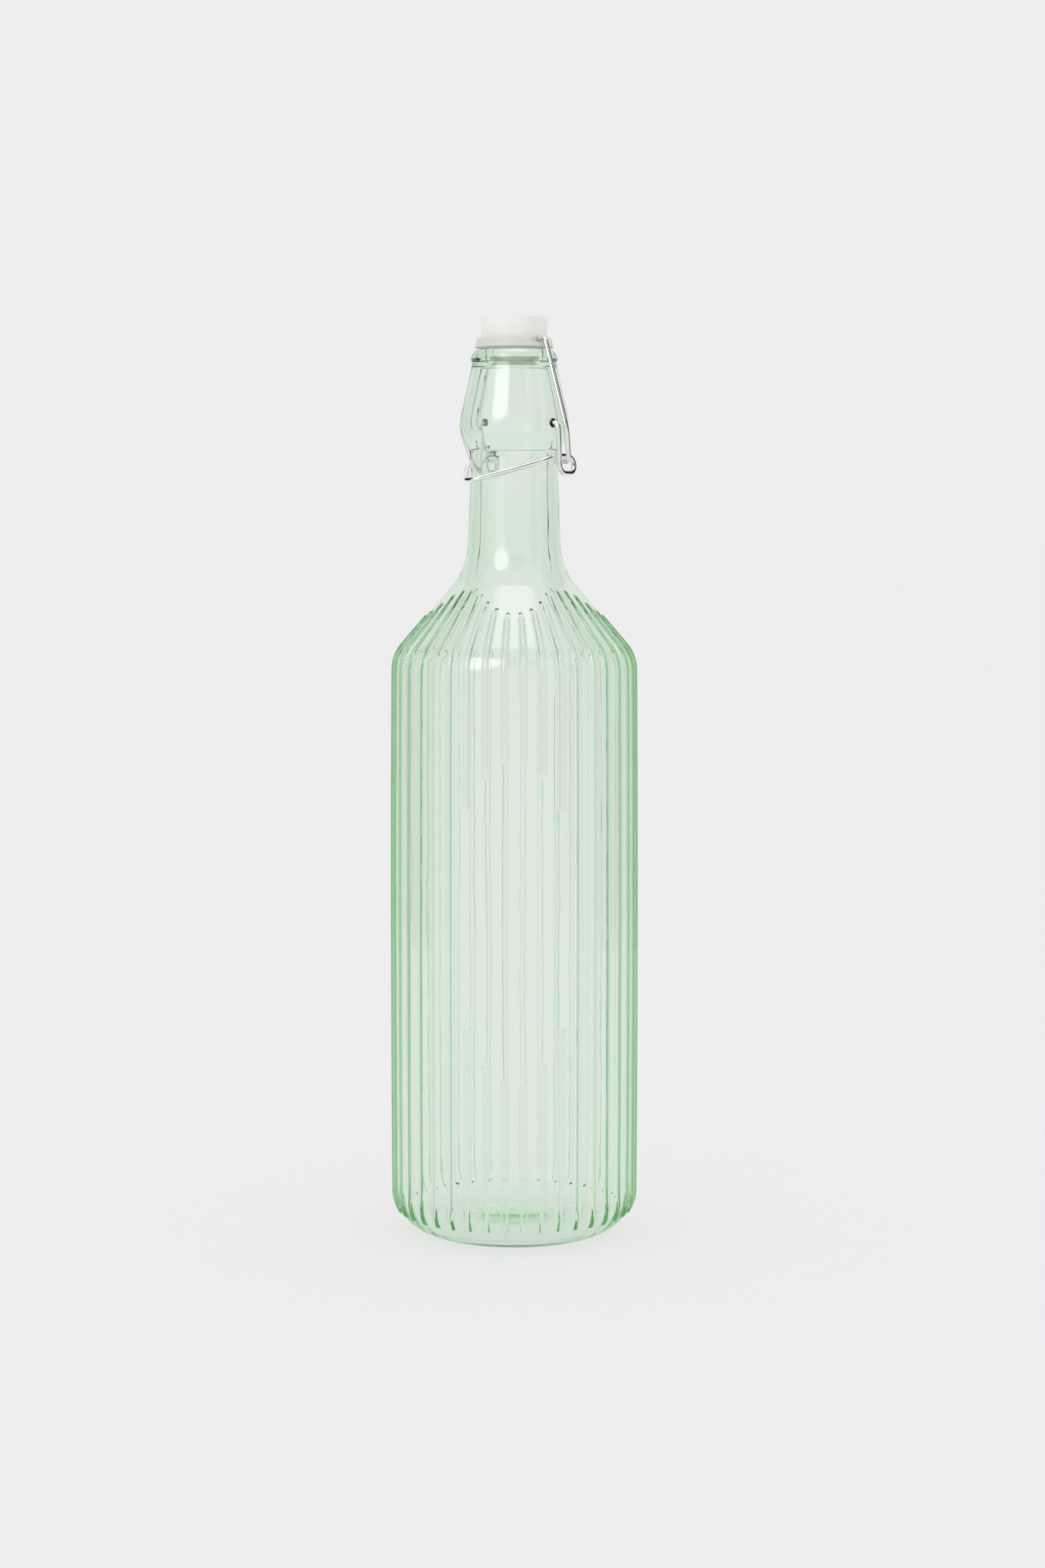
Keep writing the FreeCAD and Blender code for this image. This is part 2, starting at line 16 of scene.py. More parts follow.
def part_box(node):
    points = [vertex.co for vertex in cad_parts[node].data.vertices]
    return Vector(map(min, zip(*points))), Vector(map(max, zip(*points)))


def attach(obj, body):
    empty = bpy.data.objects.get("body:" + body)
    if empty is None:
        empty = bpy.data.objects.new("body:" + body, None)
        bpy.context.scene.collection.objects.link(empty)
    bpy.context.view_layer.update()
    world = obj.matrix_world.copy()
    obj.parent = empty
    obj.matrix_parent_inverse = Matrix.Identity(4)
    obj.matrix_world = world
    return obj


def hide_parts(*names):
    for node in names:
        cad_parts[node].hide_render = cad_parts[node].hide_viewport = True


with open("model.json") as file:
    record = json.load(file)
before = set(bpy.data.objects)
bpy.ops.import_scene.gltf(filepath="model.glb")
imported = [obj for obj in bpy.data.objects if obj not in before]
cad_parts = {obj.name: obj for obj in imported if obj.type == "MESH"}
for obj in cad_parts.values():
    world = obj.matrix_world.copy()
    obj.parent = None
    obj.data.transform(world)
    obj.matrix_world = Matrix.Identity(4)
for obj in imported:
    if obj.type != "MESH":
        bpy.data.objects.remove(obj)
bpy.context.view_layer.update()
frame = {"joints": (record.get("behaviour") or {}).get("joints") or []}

bl_info = {
    "name": "Swing Top Bottle",
    "version": (1, 0, 0),
    "blender": (4, 5, 0),
    "location": "View3D > Sidebar > Bottle",
    "description": "Makes a ribbed glass bottle with a wire and stopper closure",
    "category": "Add Mesh",
}

MM = 0.001

# The grid of the glass: spacing of traced points, passes that soften them, and gaps between rings
TRACE_GAP = 0.16 * MM
TRACE_SOFTENING = 6
PLAIN_GAP = 4 * MM
PLAIN_TURN = math.radians(5)
RIB_GAP = 2.5 * MM
RIB_TURN = math.radians(4)
RIB_END_GAP = 0.42 * MM
RIB_END_REACH = 2.6 * MM
# Columns of the fine grid beside a rib's middle, in half widths of a rib
RIB_STEPS = (0, 0.3, 0.55, 0.76, 0.91, 1.03, 1.2, 1.5)
# The plain parts take every fourth of those columns; the upper one starts some traced points past the ribs
COARSE_STEP = 4
SEAM_POINTS = 8
# The socket: (distance, share of radius) from its floor, (distance, widening) in flares from its mouth, tip
SOCKET_FLOOR = ((0.0, 0.7), (0.25 * MM, 0.93), (0.7 * MM, 1.0))
SOCKET_MOUTH = ((0.0, 0.0), (0.6, 0.3), (1.0, 0.75), (6.0, 1.6))
SOCKET_TIP = 0.1 * MM
# The grid of the wires, and the bevel of their ends as a share of their radius
BEND_STEP = math.radians(6)
WIRE_GAP = 2 * MM
WIRE_BEVEL = 0.25
# The grid of the stopper and the gasket
CLOSURE_SIDES = 128
CLOSURE_TRACE_GAP = 0.08 * MM
CLOSURE_TURN = math.radians(7)
STOPPER_GAP = 1.5 * MM
STOPPER_SOFTENING = 10
GASKET_GAP = 1.0 * MM
GASKET_SOFTENING = 8
# Edges of the cut glass and stopper that bend more stay sharp; the bore's cutter runs past the flange
GLASS_SHARP = math.radians(50)
STOPPER_SHARP = math.radians(40)
CUT_PAST = 1 * MM
# Under these a run counts as straight and a ring as a point on the axis
STRAIGHT_BULGE = 1e-9
POINT_RADIUS = 1e-7
# Half the width of the floor, in metres
FLOOR_REACH = 60.0

# A corner of a half section: round is its fillet, bulge how far the next run stands out to the right
Corner = namedtuple("Corner", "across up round bulge", defaults=(0.0, 0.0))


def joint_place(name):
    """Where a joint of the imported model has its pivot."""
    return Vector(next(joint["pos_m"] for joint in frame["joints"] if joint["name"] == name))


PIVOT = joint_place("lever_pivot")
HOOK = joint_place("bail_pivot")
CROSS_BORE = joint_place("stopper_pivot")
LIP_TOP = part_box("bottle")[1].z
STOPPER_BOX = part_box("stopper_cap")
GASKET_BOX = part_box("gasket")
LEVER_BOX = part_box("lever_wire")


def length(description, millimetres):
    """A length property with its default in millimetres."""
    return FloatProperty(description=description, default=millimetres * MM, unit="LENGTH", precision=5)


def angle(description, degrees):
    """An angle property with its default in degrees."""
    return FloatProperty(description=description, default=math.radians(degrees), subtype="ANGLE")


def colour(description, red, green, blue):
    """A linear colour property."""
    return FloatVectorProperty(description=description, default=(red, green, blue), subtype="COLOR",
                               min=0.0, max=1.0)


def amount(description, value):
    """A plain number property."""
    return FloatProperty(description=description, default=value, min=0.0)


def whole(description, value):
    """A whole number property."""
    return IntProperty(description=description, default=value, min=1)


class GlassSizes(bpy.types.PropertyGroup):
    """Sizes of the moulded glass."""
    body_radius: length("Plain radius at the middle of the body", 41.6)
    barrel: length("How much narrower the body is at its foot and shoulder", 0.4)
    barrel_fade: length("Height over the shoulder in which that runs out", 20.0)
    heel_round: length("Round between the body and the foot", 14.0)
    contact_width: length("Width of the ring that stands on the table", 3.6)
    punt_rise: length("How far the middle of the foot is pushed up", 1.2)
    shoulder_height: length("Height where the body's and the cone's lines meet", 197.7)
    shoulder_lean: angle("How far the cone leans in from upright", 40.7)
    shoulder_round: length("Round between the body and the cone", 13.0)
    neck_radius: length("Radius of the neck under the finish", 14.6)
    neck_draft: angle("How far the neck leans in from upright", 2.3)
    neck_round: length("Round between the cone and the neck", 24.0)
    finish_height: length("Height where the bulged finish starts", 267.4)
    ledge_width: length("Step from the neck out to the finish", 1.8)
    ledge_rise: length("Height of that step's slope", 1.3)
    ledge_round: length("Round of that step's inner corner", 1.2)
    collar_radius: length("Widest radius of the finish", 18.55)
    collar_low: length("Height where the widest band starts", 275.5)
    collar_high: length("Height where the widest band ends", 276.0)
    collar_round: length("Round from the widest band into the cone above it", 20.0)
    collar_lean: angle("How far that cone leans in from upright", 12.95)
    throat_radius: length("Radius of the groove under the lip", 14.3)
    throat_height: length("Height of that groove", 297.3)
    lip_radius: length("Radius of the lip bead", 14.78)
    lip_low: length("Height of the lip's lower edge", 298.0)
    lip_top_radius: length("Radius where the rounded lip ends in its flat top", 12.4)
    lip_roll: length("How far each of the lip's lower two rolls stands out", 0.22)
    lip_crown: length("How far the lip's highest roll stands out", 0.352)
    low_groove: length("Depth of the groove over the lowest roll", 0.3)
    low_groove_share: amount("Its place, as a share of the lip's height", 0.33)
    high_groove: length("Depth of the groove under the highest roll", 0.85)
    high_groove_share: amount("Its place, as a share of the lip's height", 0.68)
    wall: length("Thickness of the body's wall", 3.2)
    bore_radius: length("Radius of the mouth's bore", 9.0)
    bore_foot: length("How far over the outside's groove the bore starts to widen", 1.0)
    bore_foot_round: length("Round where the bore starts to widen", 2.2)
    inner_throat_radius: length("Radius of the hollow under the mouth's bore", 11.2)
    inner_throat_drop: length("How far under the outside's groove it has widened", 1.8)
    inner_throat_round: length("Round where it has widened", 4.5)
    chamber_radius: length("Radius of the hollow in the bulged finish", 14.9)
    chamber_rise: length("How far over the widest band the hollow starts to narrow", 2.5)
    chamber_drop: length("How far under the widest band the hollow starts to narrow", 1.0)
    chamber_round: length("Round of the hollow where it widens and narrows", 7.0)
    neck_bore: length("Radius of the hollow in the neck", 11.3)
    bore_round: length("Round of the mouth's inner edge", 1.2)
    base_thickness: length("Thickness of the glass over the foot", 3.6)
    inner_rise: length("How far the middle of the hollow's floor is pushed up", 3.0)
    inner_heel_round: length("Round at the bottom of the hollow", 11.5)
    floor_inset: length("How far inside the wall the domed floor starts", 16.1)
    floor_round: length("Round where the domed floor starts", 30.0)
    inner_shoulder_round: length("Round at the shoulder of the hollow", 9.0)
    inner_neck_round: length("Round at the neck of the hollow", 27.5)
    inner_wave: length("How uneven the blown inside is", 0.05)
    wave_size: length("Size of that unevenness round the axis", 13.0)
    wave_stretch: amount("How much slower it changes along the axis", 0.45)
    wave_fade: length("Radius inside which it runs out", 20.0)
    socket_radius: length("Radius of the blind holes for the lever", 1.45)
    socket_depth: length("Depth of those holes", 3.0)
    socket_flare: length("Widening of those holes at the surface", 0.4)


class RibSizes(bpy.types.PropertyGroup):
    """Sizes of the ribs and of the plain window in front."""
    count: whole("How many ribs go round the glass", 40)
    waves: whole("How many times the rib tops rise and fall", 4)
    width: length("Width of a rib on the body", 2.4)
    rise: length("How far a rib stands out of the body", 0.88)
    fillet: length("How softly a rib runs into the glass", 0.2)
    least_share: amount("Share of its size that a rib keeps where the glass narrows", 0.25)
    grid_foot: length("How far outside the foot's ring the ribs' fine grid starts", 3.0)
    grid_top: length("How far over the shoulder the ribs' fine grid ends", 26.0)
    foot_angle: angle("Where the ribs start, down round the heel", 26.0)
    top_gap: length("Room between the highest ribs and the neck's round", 1.0)
    top_wave: length("How far the rib tops rise and fall across the cone", 4.0)
    window_azimuth: angle("Direction of the plain window", -45.0)
    window_low: length("Height of the window's lowest point", 57.0)
    window_high: length("Height of the window's highest point", 166.0)
    window_half_angle: angle("Half the angle that the window takes", 31.0)


class ClosureSizes(bpy.types.PropertyGroup):
    """Sizes of the wires, the stopper and the gasket."""
    wire_radius: length("Radius of both wires", 0.9)
    wire_gap: length("Gap between wires that pass each other", 0.3)
    bend_radius: length("Round of the tight bends", 2.2)
    pin_length: length("From the lever's leg to the end of its socket pin", 5.05)
    eye_radius: length("Half the height of the eye in the lever", 2.95)
    eye_flat: length("How much tighter the eye's corners are", 0.1)
    eye_front: length("How far behind the pivot the eye starts", 0.8)
    eye_drift: length("How far the eye's corners step in beside the leg and the handle", 0.5)
    saddle_back: length("How far behind the pivot the handle starts to slope down", 1.0)
    saddle_bend: length("Round of that bend", 8.0)
    handle_slope: angle("Slope of the thumb handle", 20.5)
    knuckle_offset: length("How far beside the axis the handle turns in to its tip", 16.6)
    knuckle_lead: length("How far in front of the pivot it does", 6.5)
    knuckle_bend: length("Round of that turn", 25.0)
    tip_half_width: length("Half the width of the handle's blunt tip", 2.0)
    tip_bend: length("Round of the tip's corners", 3.8)
    hook_length: length("From the bail's leg to the end of its hook", 6.5)
    knee_swell: length("How far the bail's knee stands out beside its hook", 2.3)
    knee_lead: length("How far in front of the pivot the knee is", 0.6)
    knee_drop: length("How far under the pivot the knee is", 1.7)
    knee_bend: length("Round of the knee", 8.0)
    bail_top_gap: length("How far beside the flange the bail turns in", 1.15)
    flange_taper: length("How much narrower the flange is at its top", 0.9)
    flange_thickness: length("Height of the flange over the gasket", 2.9)
    flange_drop: length("How far the flange's rim hangs down round the gasket", 0.5)
    recess_gap: length("Gap between the gasket and the rim round it", 0.1)
    drum_step: length("Step from the flange in to the drum", 1.4)
    drum_round: length("Round of the drum's upper edge", 1.6)
    crown_rise: length("How far the top is domed", 0.35)
    stem_radius: length("Radius of the plug stem", 6.2)
    stem_round: length("Round of the stem's lower edge", 0.6)
    stem_gap: length("Gap between the stem and the gasket", 0.1)
    gasket_slope: length("How much narrower the gasket is at its foot", 0.5)
    bore_gap: length("Gap between the wire and its bore in the stopper", 0.1)
    notch_width: length("Width of the notches in the flange for the wire", 8.2)
    notch_drop: length("How far under the wire's middle they reach", 1.0)
    notch_depth: length("Depth of those notches", 1.9)
    notch_round: length("Round of their edges", 0.25)
    gate_radius: length("Radius of the moulding mark on the top", 1.0)
    gate_slope: length("Width of the slope round that mark", 0.2)
    gate_depth: length("Depth of that mark", 0.16)
    gate_dish: length("How far the dome and the mark sink towards the mark's edge", 0.02)


class Finishes(bpy.types.PropertyGroup):
    """Colours and amounts of the materials."""
    glass_absorption: colour("Light after a long way through the glass", 0.0, 0.62, 0.04)
    glass_density: amount("How fast the glass takes colour, per metre", 25.0)
    glass_shadow: colour("What one face of the glass lets through of a lamp", 0.9, 0.92, 0.9)
    steel: colour("Plated wire", 0.80, 0.80, 0.79)
    bright_steel: colour("The wire where it is rubbed", 0.896, 0.896, 0.8848)
    stopper_white: colour("Moulded plastic", 0.88, 0.88, 0.86)
    stopper_shade: colour("The plastic where it is thin or handled", 0.84, 0.84, 0.81)
    # Painted shade: the flange and the stem under its top get a darker green that stands in for the light
    # coming through the green glass; the two lengths below set where that painted shade fades out
    flange_painted_shade: colour("The plastic of the thin flange, over the glass", 0.69, 0.73, 0.64)
    painted_shade_below: length("How far under the flange's top its tint starts to fade", 0.4)
    painted_shade_above: length("How far over the flange's top its tint has faded", 0.2)
    gasket_pale: colour("Soft rubber ring", 0.88, 0.88, 0.84)
    gasket_shade: colour("The rubber where it is worn", 0.80, 0.80, 0.75)


class StageSizes(bpy.types.PropertyGroup):
    """Camera, floor and light."""
    camera_azimuth: angle("Direction of the camera round the bottle", 45.0)
    camera_distance: length("Level distance from the bottle's axis", 977.0)
    camera_height: length("Height of the camera", 240.0)
    camera_tilt: angle("How far the camera looks down", 2.67)
    camera_drop: length("How far the picture is shifted down, measured at the axis", 40.9)
    camera_swing: angle("How far the camera looks past the axis, to the right", 0.165)
    camera_lens: amount("Focal length in millimetres", 65.6)
    camera_frame: amount("Width of the camera's frame in millimetres", 36.0)
    backdrop: colour("Pale surround and floor", 0.855, 0.855, 0.855)
    room: colour("The room behind the camera, as glass and wire reflect it", 0.76, 0.76, 0.76)
    room_edge: amount("Where the room ends, from 0 behind the camera to 1 ahead of it", 0.36)
    backdrop_edge: amount("Where the backdrop starts, on the same scale", 0.62)
    floor_match: amount("How far the floor is dimmed for the light of the lamp", 0.985)
    floor_grain: amount("How dark the darker grain of the floor is", 0.998)
    floor_lift: amount("How far the floor's shadows are lifted to the backdrop's level", 0.72)
    flag_level: amount("Level of the dark cards that edge the glass and the wire", 0.02)
    card_level: amount("Level of the bright card beside the camera", 5.0)
    top_level: amount("Level of the bright card over the bottle", 3.25)
    fill: amount("Level of the even light from all round", 0.86)


def arc_run(start, end, bulge, gap):
    """Points after start up to end, on an arc that stands bulge to the right of its chord."""
    chord = end - start
    half = chord.length / 2
    if abs(bulge) < STRAIGHT_BULGE:
        count = max(1, round(chord.length / gap))
        return [start.lerp(end, step / count) for step in range(1, count + 1)]
    radius = (half ** 2 + bulge ** 2) / (2 * abs(bulge))
    half_angle = 2 * math.atan(abs(bulge) / half)
    along = chord.normalized()
    side = Vector((along.y, -along.x)) * math.copysign(1, bulge)
    centre = start + chord / 2 + side * (abs(bulge) - radius)
    count = max(2, round(2 * half_angle * radius / gap))
    turns = [half_angle * (2 * step / count - 1) for step in range(1, count + 1)]
    return [centre + side * (radius * math.cos(turn)) + along * (radius * math.sin(turn)) for turn in turns]


def trace(corners, gap):
    """Closely spaced points (across, up) along a half section."""
    places = [Vector((corner.across, corner.up)) for corner in corners]
    points = [places[0]]
    bulge = corners[0].bulge
    for index in range(1, len(corners)):
        here, corner = places[index], corners[index]
        if corner.round:
            back = (places[index - 1] - here).normalized()
            ahead = (places[index + 1] - here).normalized()
            half_turn = back.angle(ahead) / 2
            reach = corner.round / math.tan(half_turn)
            enter, leave = here + back * reach, here + ahead * reach
            side = math.copysign(1, back.x * ahead.y - back.y * ahead.x)
            points += arc_run(points[-1], enter, bulge, gap)
            points += arc_run(enter, leave, -side * corner.round * (1 - math.sin(half_turn)), gap)
        else:
            points += arc_run(points[-1], here, bulge, gap)
        bulge = corner.bulge
    return points


def soften(points, passes):
    """Rounds the sharp edges of a traced section a little, as moulding does."""
    for _ in range(passes):
        threes = zip(points, points[1:], points[2:])
        middle = [(before + here * 2 + after) / 4 for before, here, after in threes]
        points = [points[0]] + middle + [points[-1]]
    return points


def thin(points, turn_limit, gap_at):
    """Keeps the points where a section has turned enough, or run on for the gap that gap_at gives there."""
    kept = [points[0]]
    last = points[1] - points[0]
    for here, after in zip(points[1:], points[2:]):
        ahead = after - here
        if last.angle(ahead) > turn_limit or (here - kept[-1]).length >= gap_at(here):
            kept.append(here)
            last = ahead
    return kept + [points[-1]]


def everywhere(gap):
    """The same gap at every point, for thin."""
    return lambda point: gap


def bridge(lower, upper):
    """Faces between two rings of vertex numbers, of which one may be a point or a few times finer."""
    faces = []
    few = min(len(lower), len(upper))
    if few == 1:
        for index in range(max(len(lower), len(upper))):
            if len(lower) == 1:
                faces.append((lower[0], upper[(index + 1) % len(upper)], upper[index]))
            else:
                faces.append((lower[index], lower[(index + 1) % len(lower)], upper[0]))
        return faces
    share = max(len(lower), len(upper)) // few
    for index in range(few):
        following = (index + 1) % few
        if share == 1:
            faces.append((lower[index], lower[following], upper[following], upper[index]))
            continue
        fine, coarse = (lower, upper) if len(lower) > len(upper) else (upper, lower)
        chain = [fine[(index * share + step) % len(fine)] for step in range(share + 1)]
        middle = share // 2
        corners = [coarse[index]] * middle + [coarse[following]] * (share - middle)
        fans = [(end, first, second) for end, first, second in zip(corners, chain, chain[1:])]
        fans.append((coarse[following], coarse[index], chain[middle]))
        faces += fans if fine is lower else [(end, second, first) for end, first, second in fans]
    return faces


def skin(name, rings, closed=False):
    """A smooth mesh over rings of points; closed joins the last ring to the first."""
    places, numbers = [], []
    for ring in rings:
        numbers.append(list(range(len(places), len(places) + len(ring))))
        places += ring
    pairs = list(zip(numbers, numbers[1:]))
    if closed:
        pairs.append((numbers[-1], numbers[0]))
    faces = [face for lower, upper in pairs for face in bridge(lower, upper)]
    mesh = bpy.data.meshes.new(name)
    mesh.from_pydata(places, [], faces)
    mesh.validate()
    mesh.shade_smooth()
    return mesh


def circle(radius, height, turns):
    """A level ring of points round the axis, or one point on it."""
    if radius < POINT_RADIUS:
        return [Vector((0, 0, height))]
    return [Vector((radius * math.cos(turn), radius * math.sin(turn), height)) for turn in turns]


def even_turns(count):
    """Evenly spaced angles round the axis."""
    return [math.tau * step / count for step in range(count)]


def new_piece(name, mesh, material, body, node):
    """Puts a mesh in the scene as the piece that stands for a node and moves with its body."""
    piece = bpy.data.objects.new(name, mesh)
    bpy.context.scene.collection.objects.link(piece)
    mesh.materials.clear()
    mesh.materials.append(material)
    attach(piece, body)
    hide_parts(node)
    return piece


def carve(mesh, tools, sharp_angle):
    """The mesh with the tools' meshes cut out of it, and its sharp edges kept sharp."""
    subject = bpy.data.objects.new(mesh.name, mesh)
    bpy.context.scene.collection.objects.link(subject)
    cutters = []
    for tool in tools:
        cutter = bpy.data.objects.new(tool.name, tool)
        bpy.context.scene.collection.objects.link(cutter)
        cut = subject.modifiers.new(tool.name, "BOOLEAN")
        cut.operation = "DIFFERENCE"
        cut.solver = "EXACT"
        cut.object = cutter
        cutters.append(cutter)
    graph = bpy.context.evaluated_depsgraph_get()
    carved = bpy.data.meshes.new_from_object(subject.evaluated_get(graph))
    carved.name = mesh.name + "_carved"
    for item in [subject] + cutters:
        bpy.data.objects.remove(item)
    carved.shade_smooth()
    carved.set_sharp_from_angle(angle=sharp_angle)
    return carved


def spindle(name, stations, start, end, axis_height, sides=32):
    """A round cutter along X from start to end, with (place, radius) stations between them."""
    turns = even_turns(sides)
    rings = [[Vector((start, 0, axis_height))]]
    for place, radius in stations:
        rings.append([Vector((place, radius * math.cos(turn), axis_height + radius * math.sin(turn)))
                      for turn in turns])
    rings.append([Vector((end, 0, axis_height))])
    mesh = skin(name, rings)
    if end < start:
        mesh.flip_normals()
    return mesh


# Glass

def neck_root(glass):
    """The radius and height where the lines of the cone and the neck meet."""
    lean, draft = math.tan(glass.shoulder_lean), math.tan(glass.neck_draft)
    height = (glass.body_radius - glass.neck_radius + glass.shoulder_height * lean
              - glass.finish_height * draft) / (lean - draft)
    return glass.neck_radius + (glass.finish_height - height) * draft, height


def outside_section(glass):
    """The outside of the glass from the middle of the foot to the top of the lip."""
    contact = glass.body_radius - glass.heel_round - glass.contact_width
    foot_slope = math.atan2(glass.punt_rise, contact)
    foot_bulge = -math.hypot(contact, glass.punt_rise) / 2 * math.tan(foot_slope / 2)
    ledge = Vector((glass.neck_radius + glass.ledge_width, glass.finish_height + glass.ledge_rise))
    band = Vector((glass.collar_radius, glass.collar_low))
    cone_foot = glass.collar_high + glass.collar_round * math.tan(glass.collar_lean / 2)
    lip_height = LIP_TOP - glass.lip_low
    low_groove = glass.lip_low + lip_height * glass.low_groove_share
    high_groove = glass.lip_low + lip_height * glass.high_groove_share
    return [
        Corner(0, glass.punt_rise, bulge=foot_bulge),
        Corner(contact, 0),
        Corner(glass.body_radius, 0, round=glass.heel_round),
        Corner(glass.body_radius, glass.shoulder_height, round=glass.shoulder_round),
        Corner(*neck_root(glass), round=glass.neck_round),
        Corner(glass.neck_radius, glass.finish_height, round=glass.ledge_round),
        Corner(*ledge, bulge=upright_bulge(band - ledge)),
        Corner(*band),
        Corner(glass.collar_radius, cone_foot, round=glass.collar_round),
        Corner(glass.throat_radius, glass.throat_height),
        Corner(glass.lip_radius, glass.lip_low, bulge=glass.lip_roll),
        Corner(glass.lip_radius - glass.low_groove, low_groove, bulge=glass.lip_roll),
        Corner(glass.lip_radius - glass.high_groove, high_groove, bulge=glass.lip_crown),
        Corner(glass.lip_top_radius, LIP_TOP),
        Corner(glass.bore_radius + glass.bore_round, LIP_TOP),
    ]


def upright_bulge(chord):
    """The bulge of an arc over a chord that is upright at one of its ends."""
    return chord.length / 2 * math.tan(math.atan2(abs(chord.x), abs(chord.y)) / 2)


def inside_section(glass):
    """The inside of the glass from the mouth down to the middle of the floor."""
    lean = glass.shoulder_lean
    radius = glass.body_radius - glass.wall
    corner = glass.shoulder_height - glass.wall * math.tan(lean / 2)
    neck_foot = corner + (radius - glass.neck_bore) / math.tan(lean)
    return [
        Corner(glass.bore_radius + glass.bore_round, LIP_TOP),
        Corner(glass.bore_radius, LIP_TOP - glass.bore_round),
        Corner(glass.bore_radius, glass.throat_height + glass.bore_foot, round=glass.bore_foot_round),
        Corner(glass.inner_throat_radius, glass.throat_height - glass.inner_throat_drop,
               round=glass.inner_throat_round),
        Corner(glass.chamber_radius, glass.collar_high + glass.chamber_rise, round=glass.chamber_round),
        Corner(glass.chamber_radius, glass.collar_low - glass.chamber_drop, round=glass.chamber_round),
        Corner(glass.neck_bore, glass.finish_height, round=glass.chamber_round),
        Corner(glass.neck_bore, neck_foot, round=glass.inner_neck_round),
        Corner(radius, corner, round=glass.inner_shoulder_round),
        Corner(radius, glass.base_thickness, round=glass.inner_heel_round),
        Corner(radius - glass.floor_inset, glass.base_thickness, round=glass.floor_round),
        Corner(0, glass.base_thickness + glass.inner_rise),
    ]


def barrel_inset(glass, height):
    """How much the body draws in at a height; the cone fades it out."""
    middle = glass.shoulder_height / 2
    share = (height - middle) / middle
    fade = 1 - min(1, max(0, (height - glass.shoulder_height) / glass.barrel_fade))
    return glass.barrel * min(1, share ** 2) * fade


def rib_columns(ribs, body_radius):
    """The turns of the fine grid: close across each rib, wide in the gaps."""
    pitch = math.tau / ribs.count
    half_rib = ribs.width / (pitch * body_radius)
    steps = [half_rib * step for step in RIB_STEPS]
    shares = [-share for share in steps[:0:-1]] + steps + [1.0]
    places = [rib + 0.5 + share / 2 for rib in range(ribs.count) for share in shares]
    return [ribs.window_azimuth + place * pitch for place in places]


def rib_spans(glass, ribs, rib):
    """The heights between which a rib runs, in one piece or two; the ribs count from the window's middle."""
    turn = (rib + 0.5) * math.tau / ribs.count
    turn = min(turn, math.tau - turn)
    lean = glass.shoulder_lean
    root_radius, _ = neck_root(glass)
    cone_top = root_radius + glass.neck_round * math.tan((lean - glass.neck_draft) / 2) * math.sin(lean)
    reach = cone_top + ribs.top_gap + ribs.top_wave * (1 + math.cos(ribs.waves * turn))
    top = glass.shoulder_height + (glass.body_radius - reach) / math.tan(lean)
    foot = glass.heel_round * (1 - math.sin(ribs.foot_angle))
    share = turn / ribs.window_half_angle
    if share >= 1:
        return [(foot, top)]
    middle = (ribs.window_low + ribs.window_high) / 2
    half = (ribs.window_high - ribs.window_low) / 2 * math.sqrt(1 - share ** 2)
    return [(foot, middle - half), (middle + half, top)]


def rib_bump(ribs, beside, beyond, scale):
    """Height of a rounded rib at a distance beside its line and beyond its end."""
    half = ribs.width / 2
    bead = (half ** 2 + ribs.rise ** 2) / (2 * ribs.rise)
    away = math.hypot(beside, beyond) / scale
    bump = math.sqrt(max(0, bead ** 2 - away ** 2)) - (bead - ribs.rise)
    blend = max(0, ribs.fillet - abs(bump)) ** 2 / (4 * ribs.fillet)
    return (max(bump, 0) + blend) * scale


def section_stations(points):
    """Each point of a section with its outward normal and its distance along the section."""
    stations = []
    distance = 0.0
    for index, here in enumerate(points):
        before, after = points[max(0, index - 1)], points[min(len(points) - 1, index + 1)]
        along = (after - before).normalized()
        if index:
            distance += (here - points[index - 1]).length
        stations.append((here, Vector((along.y, -along.x)), distance))
    return stations


def ribbed_rings(glass, ribs, points):
    """The rings of the ribbed part of the outside, on the fine grid."""
    stations = section_stations(points)
    spans = [rib_spans(glass, ribs, rib) for rib in range(ribs.count)]
    ends = [height for rib in spans for span in rib for height in span]

    def distance_at(height):
        return min(stations, key=lambda station: abs(station[0].y - height))[2]

    places = {height: distance_at(height) for height in set(ends)}
    near = sorted(set(round(height, 6) for height in ends))

    def gap_at(point):
        close = min(abs(point.y - height) for height in near) < RIB_END_REACH
        return RIB_END_GAP if close else RIB_GAP

    kept = {id(point) for point in thin(points, RIB_TURN, gap_at)}
    turns = rib_columns(ribs, glass.body_radius)
    per_rib = len(turns) // ribs.count
    pitch = math.tau / ribs.count
    rings = []
    for point, normal, distance in stations:
        if id(point) not in kept:
            continue
        scale = ribs.least_share + (1 - ribs.least_share) * point.x / glass.body_radius
        inset = barrel_inset(glass, point.y)
        ring = []
        for column, turn in enumerate(turns):
            rib = column // per_rib
            beside = (turn - ribs.window_azimuth - (rib + 0.5) * pitch) * point.x
            beyond = min(max(places[low] - distance, distance - places[high], 0) for low, high in spans[rib])
            out = rib_bump(ribs, beside, beyond, scale)
            across = point.x - inset + normal.x * out
            ring.append(Vector((across * math.cos(turn), across * math.sin(turn), point.y + normal.y * out)))
        rings.append(ring)
    return rings


def uneven(glass, across, turn, height):
    """How far the blown inside stands off its true form at a place."""
    place = Vector((across * math.cos(turn), across * math.sin(turn), height * glass.wave_stretch))
    return glass.inner_wave * noise.noise(place / glass.wave_size) * min(1, across / glass.wave_fade)


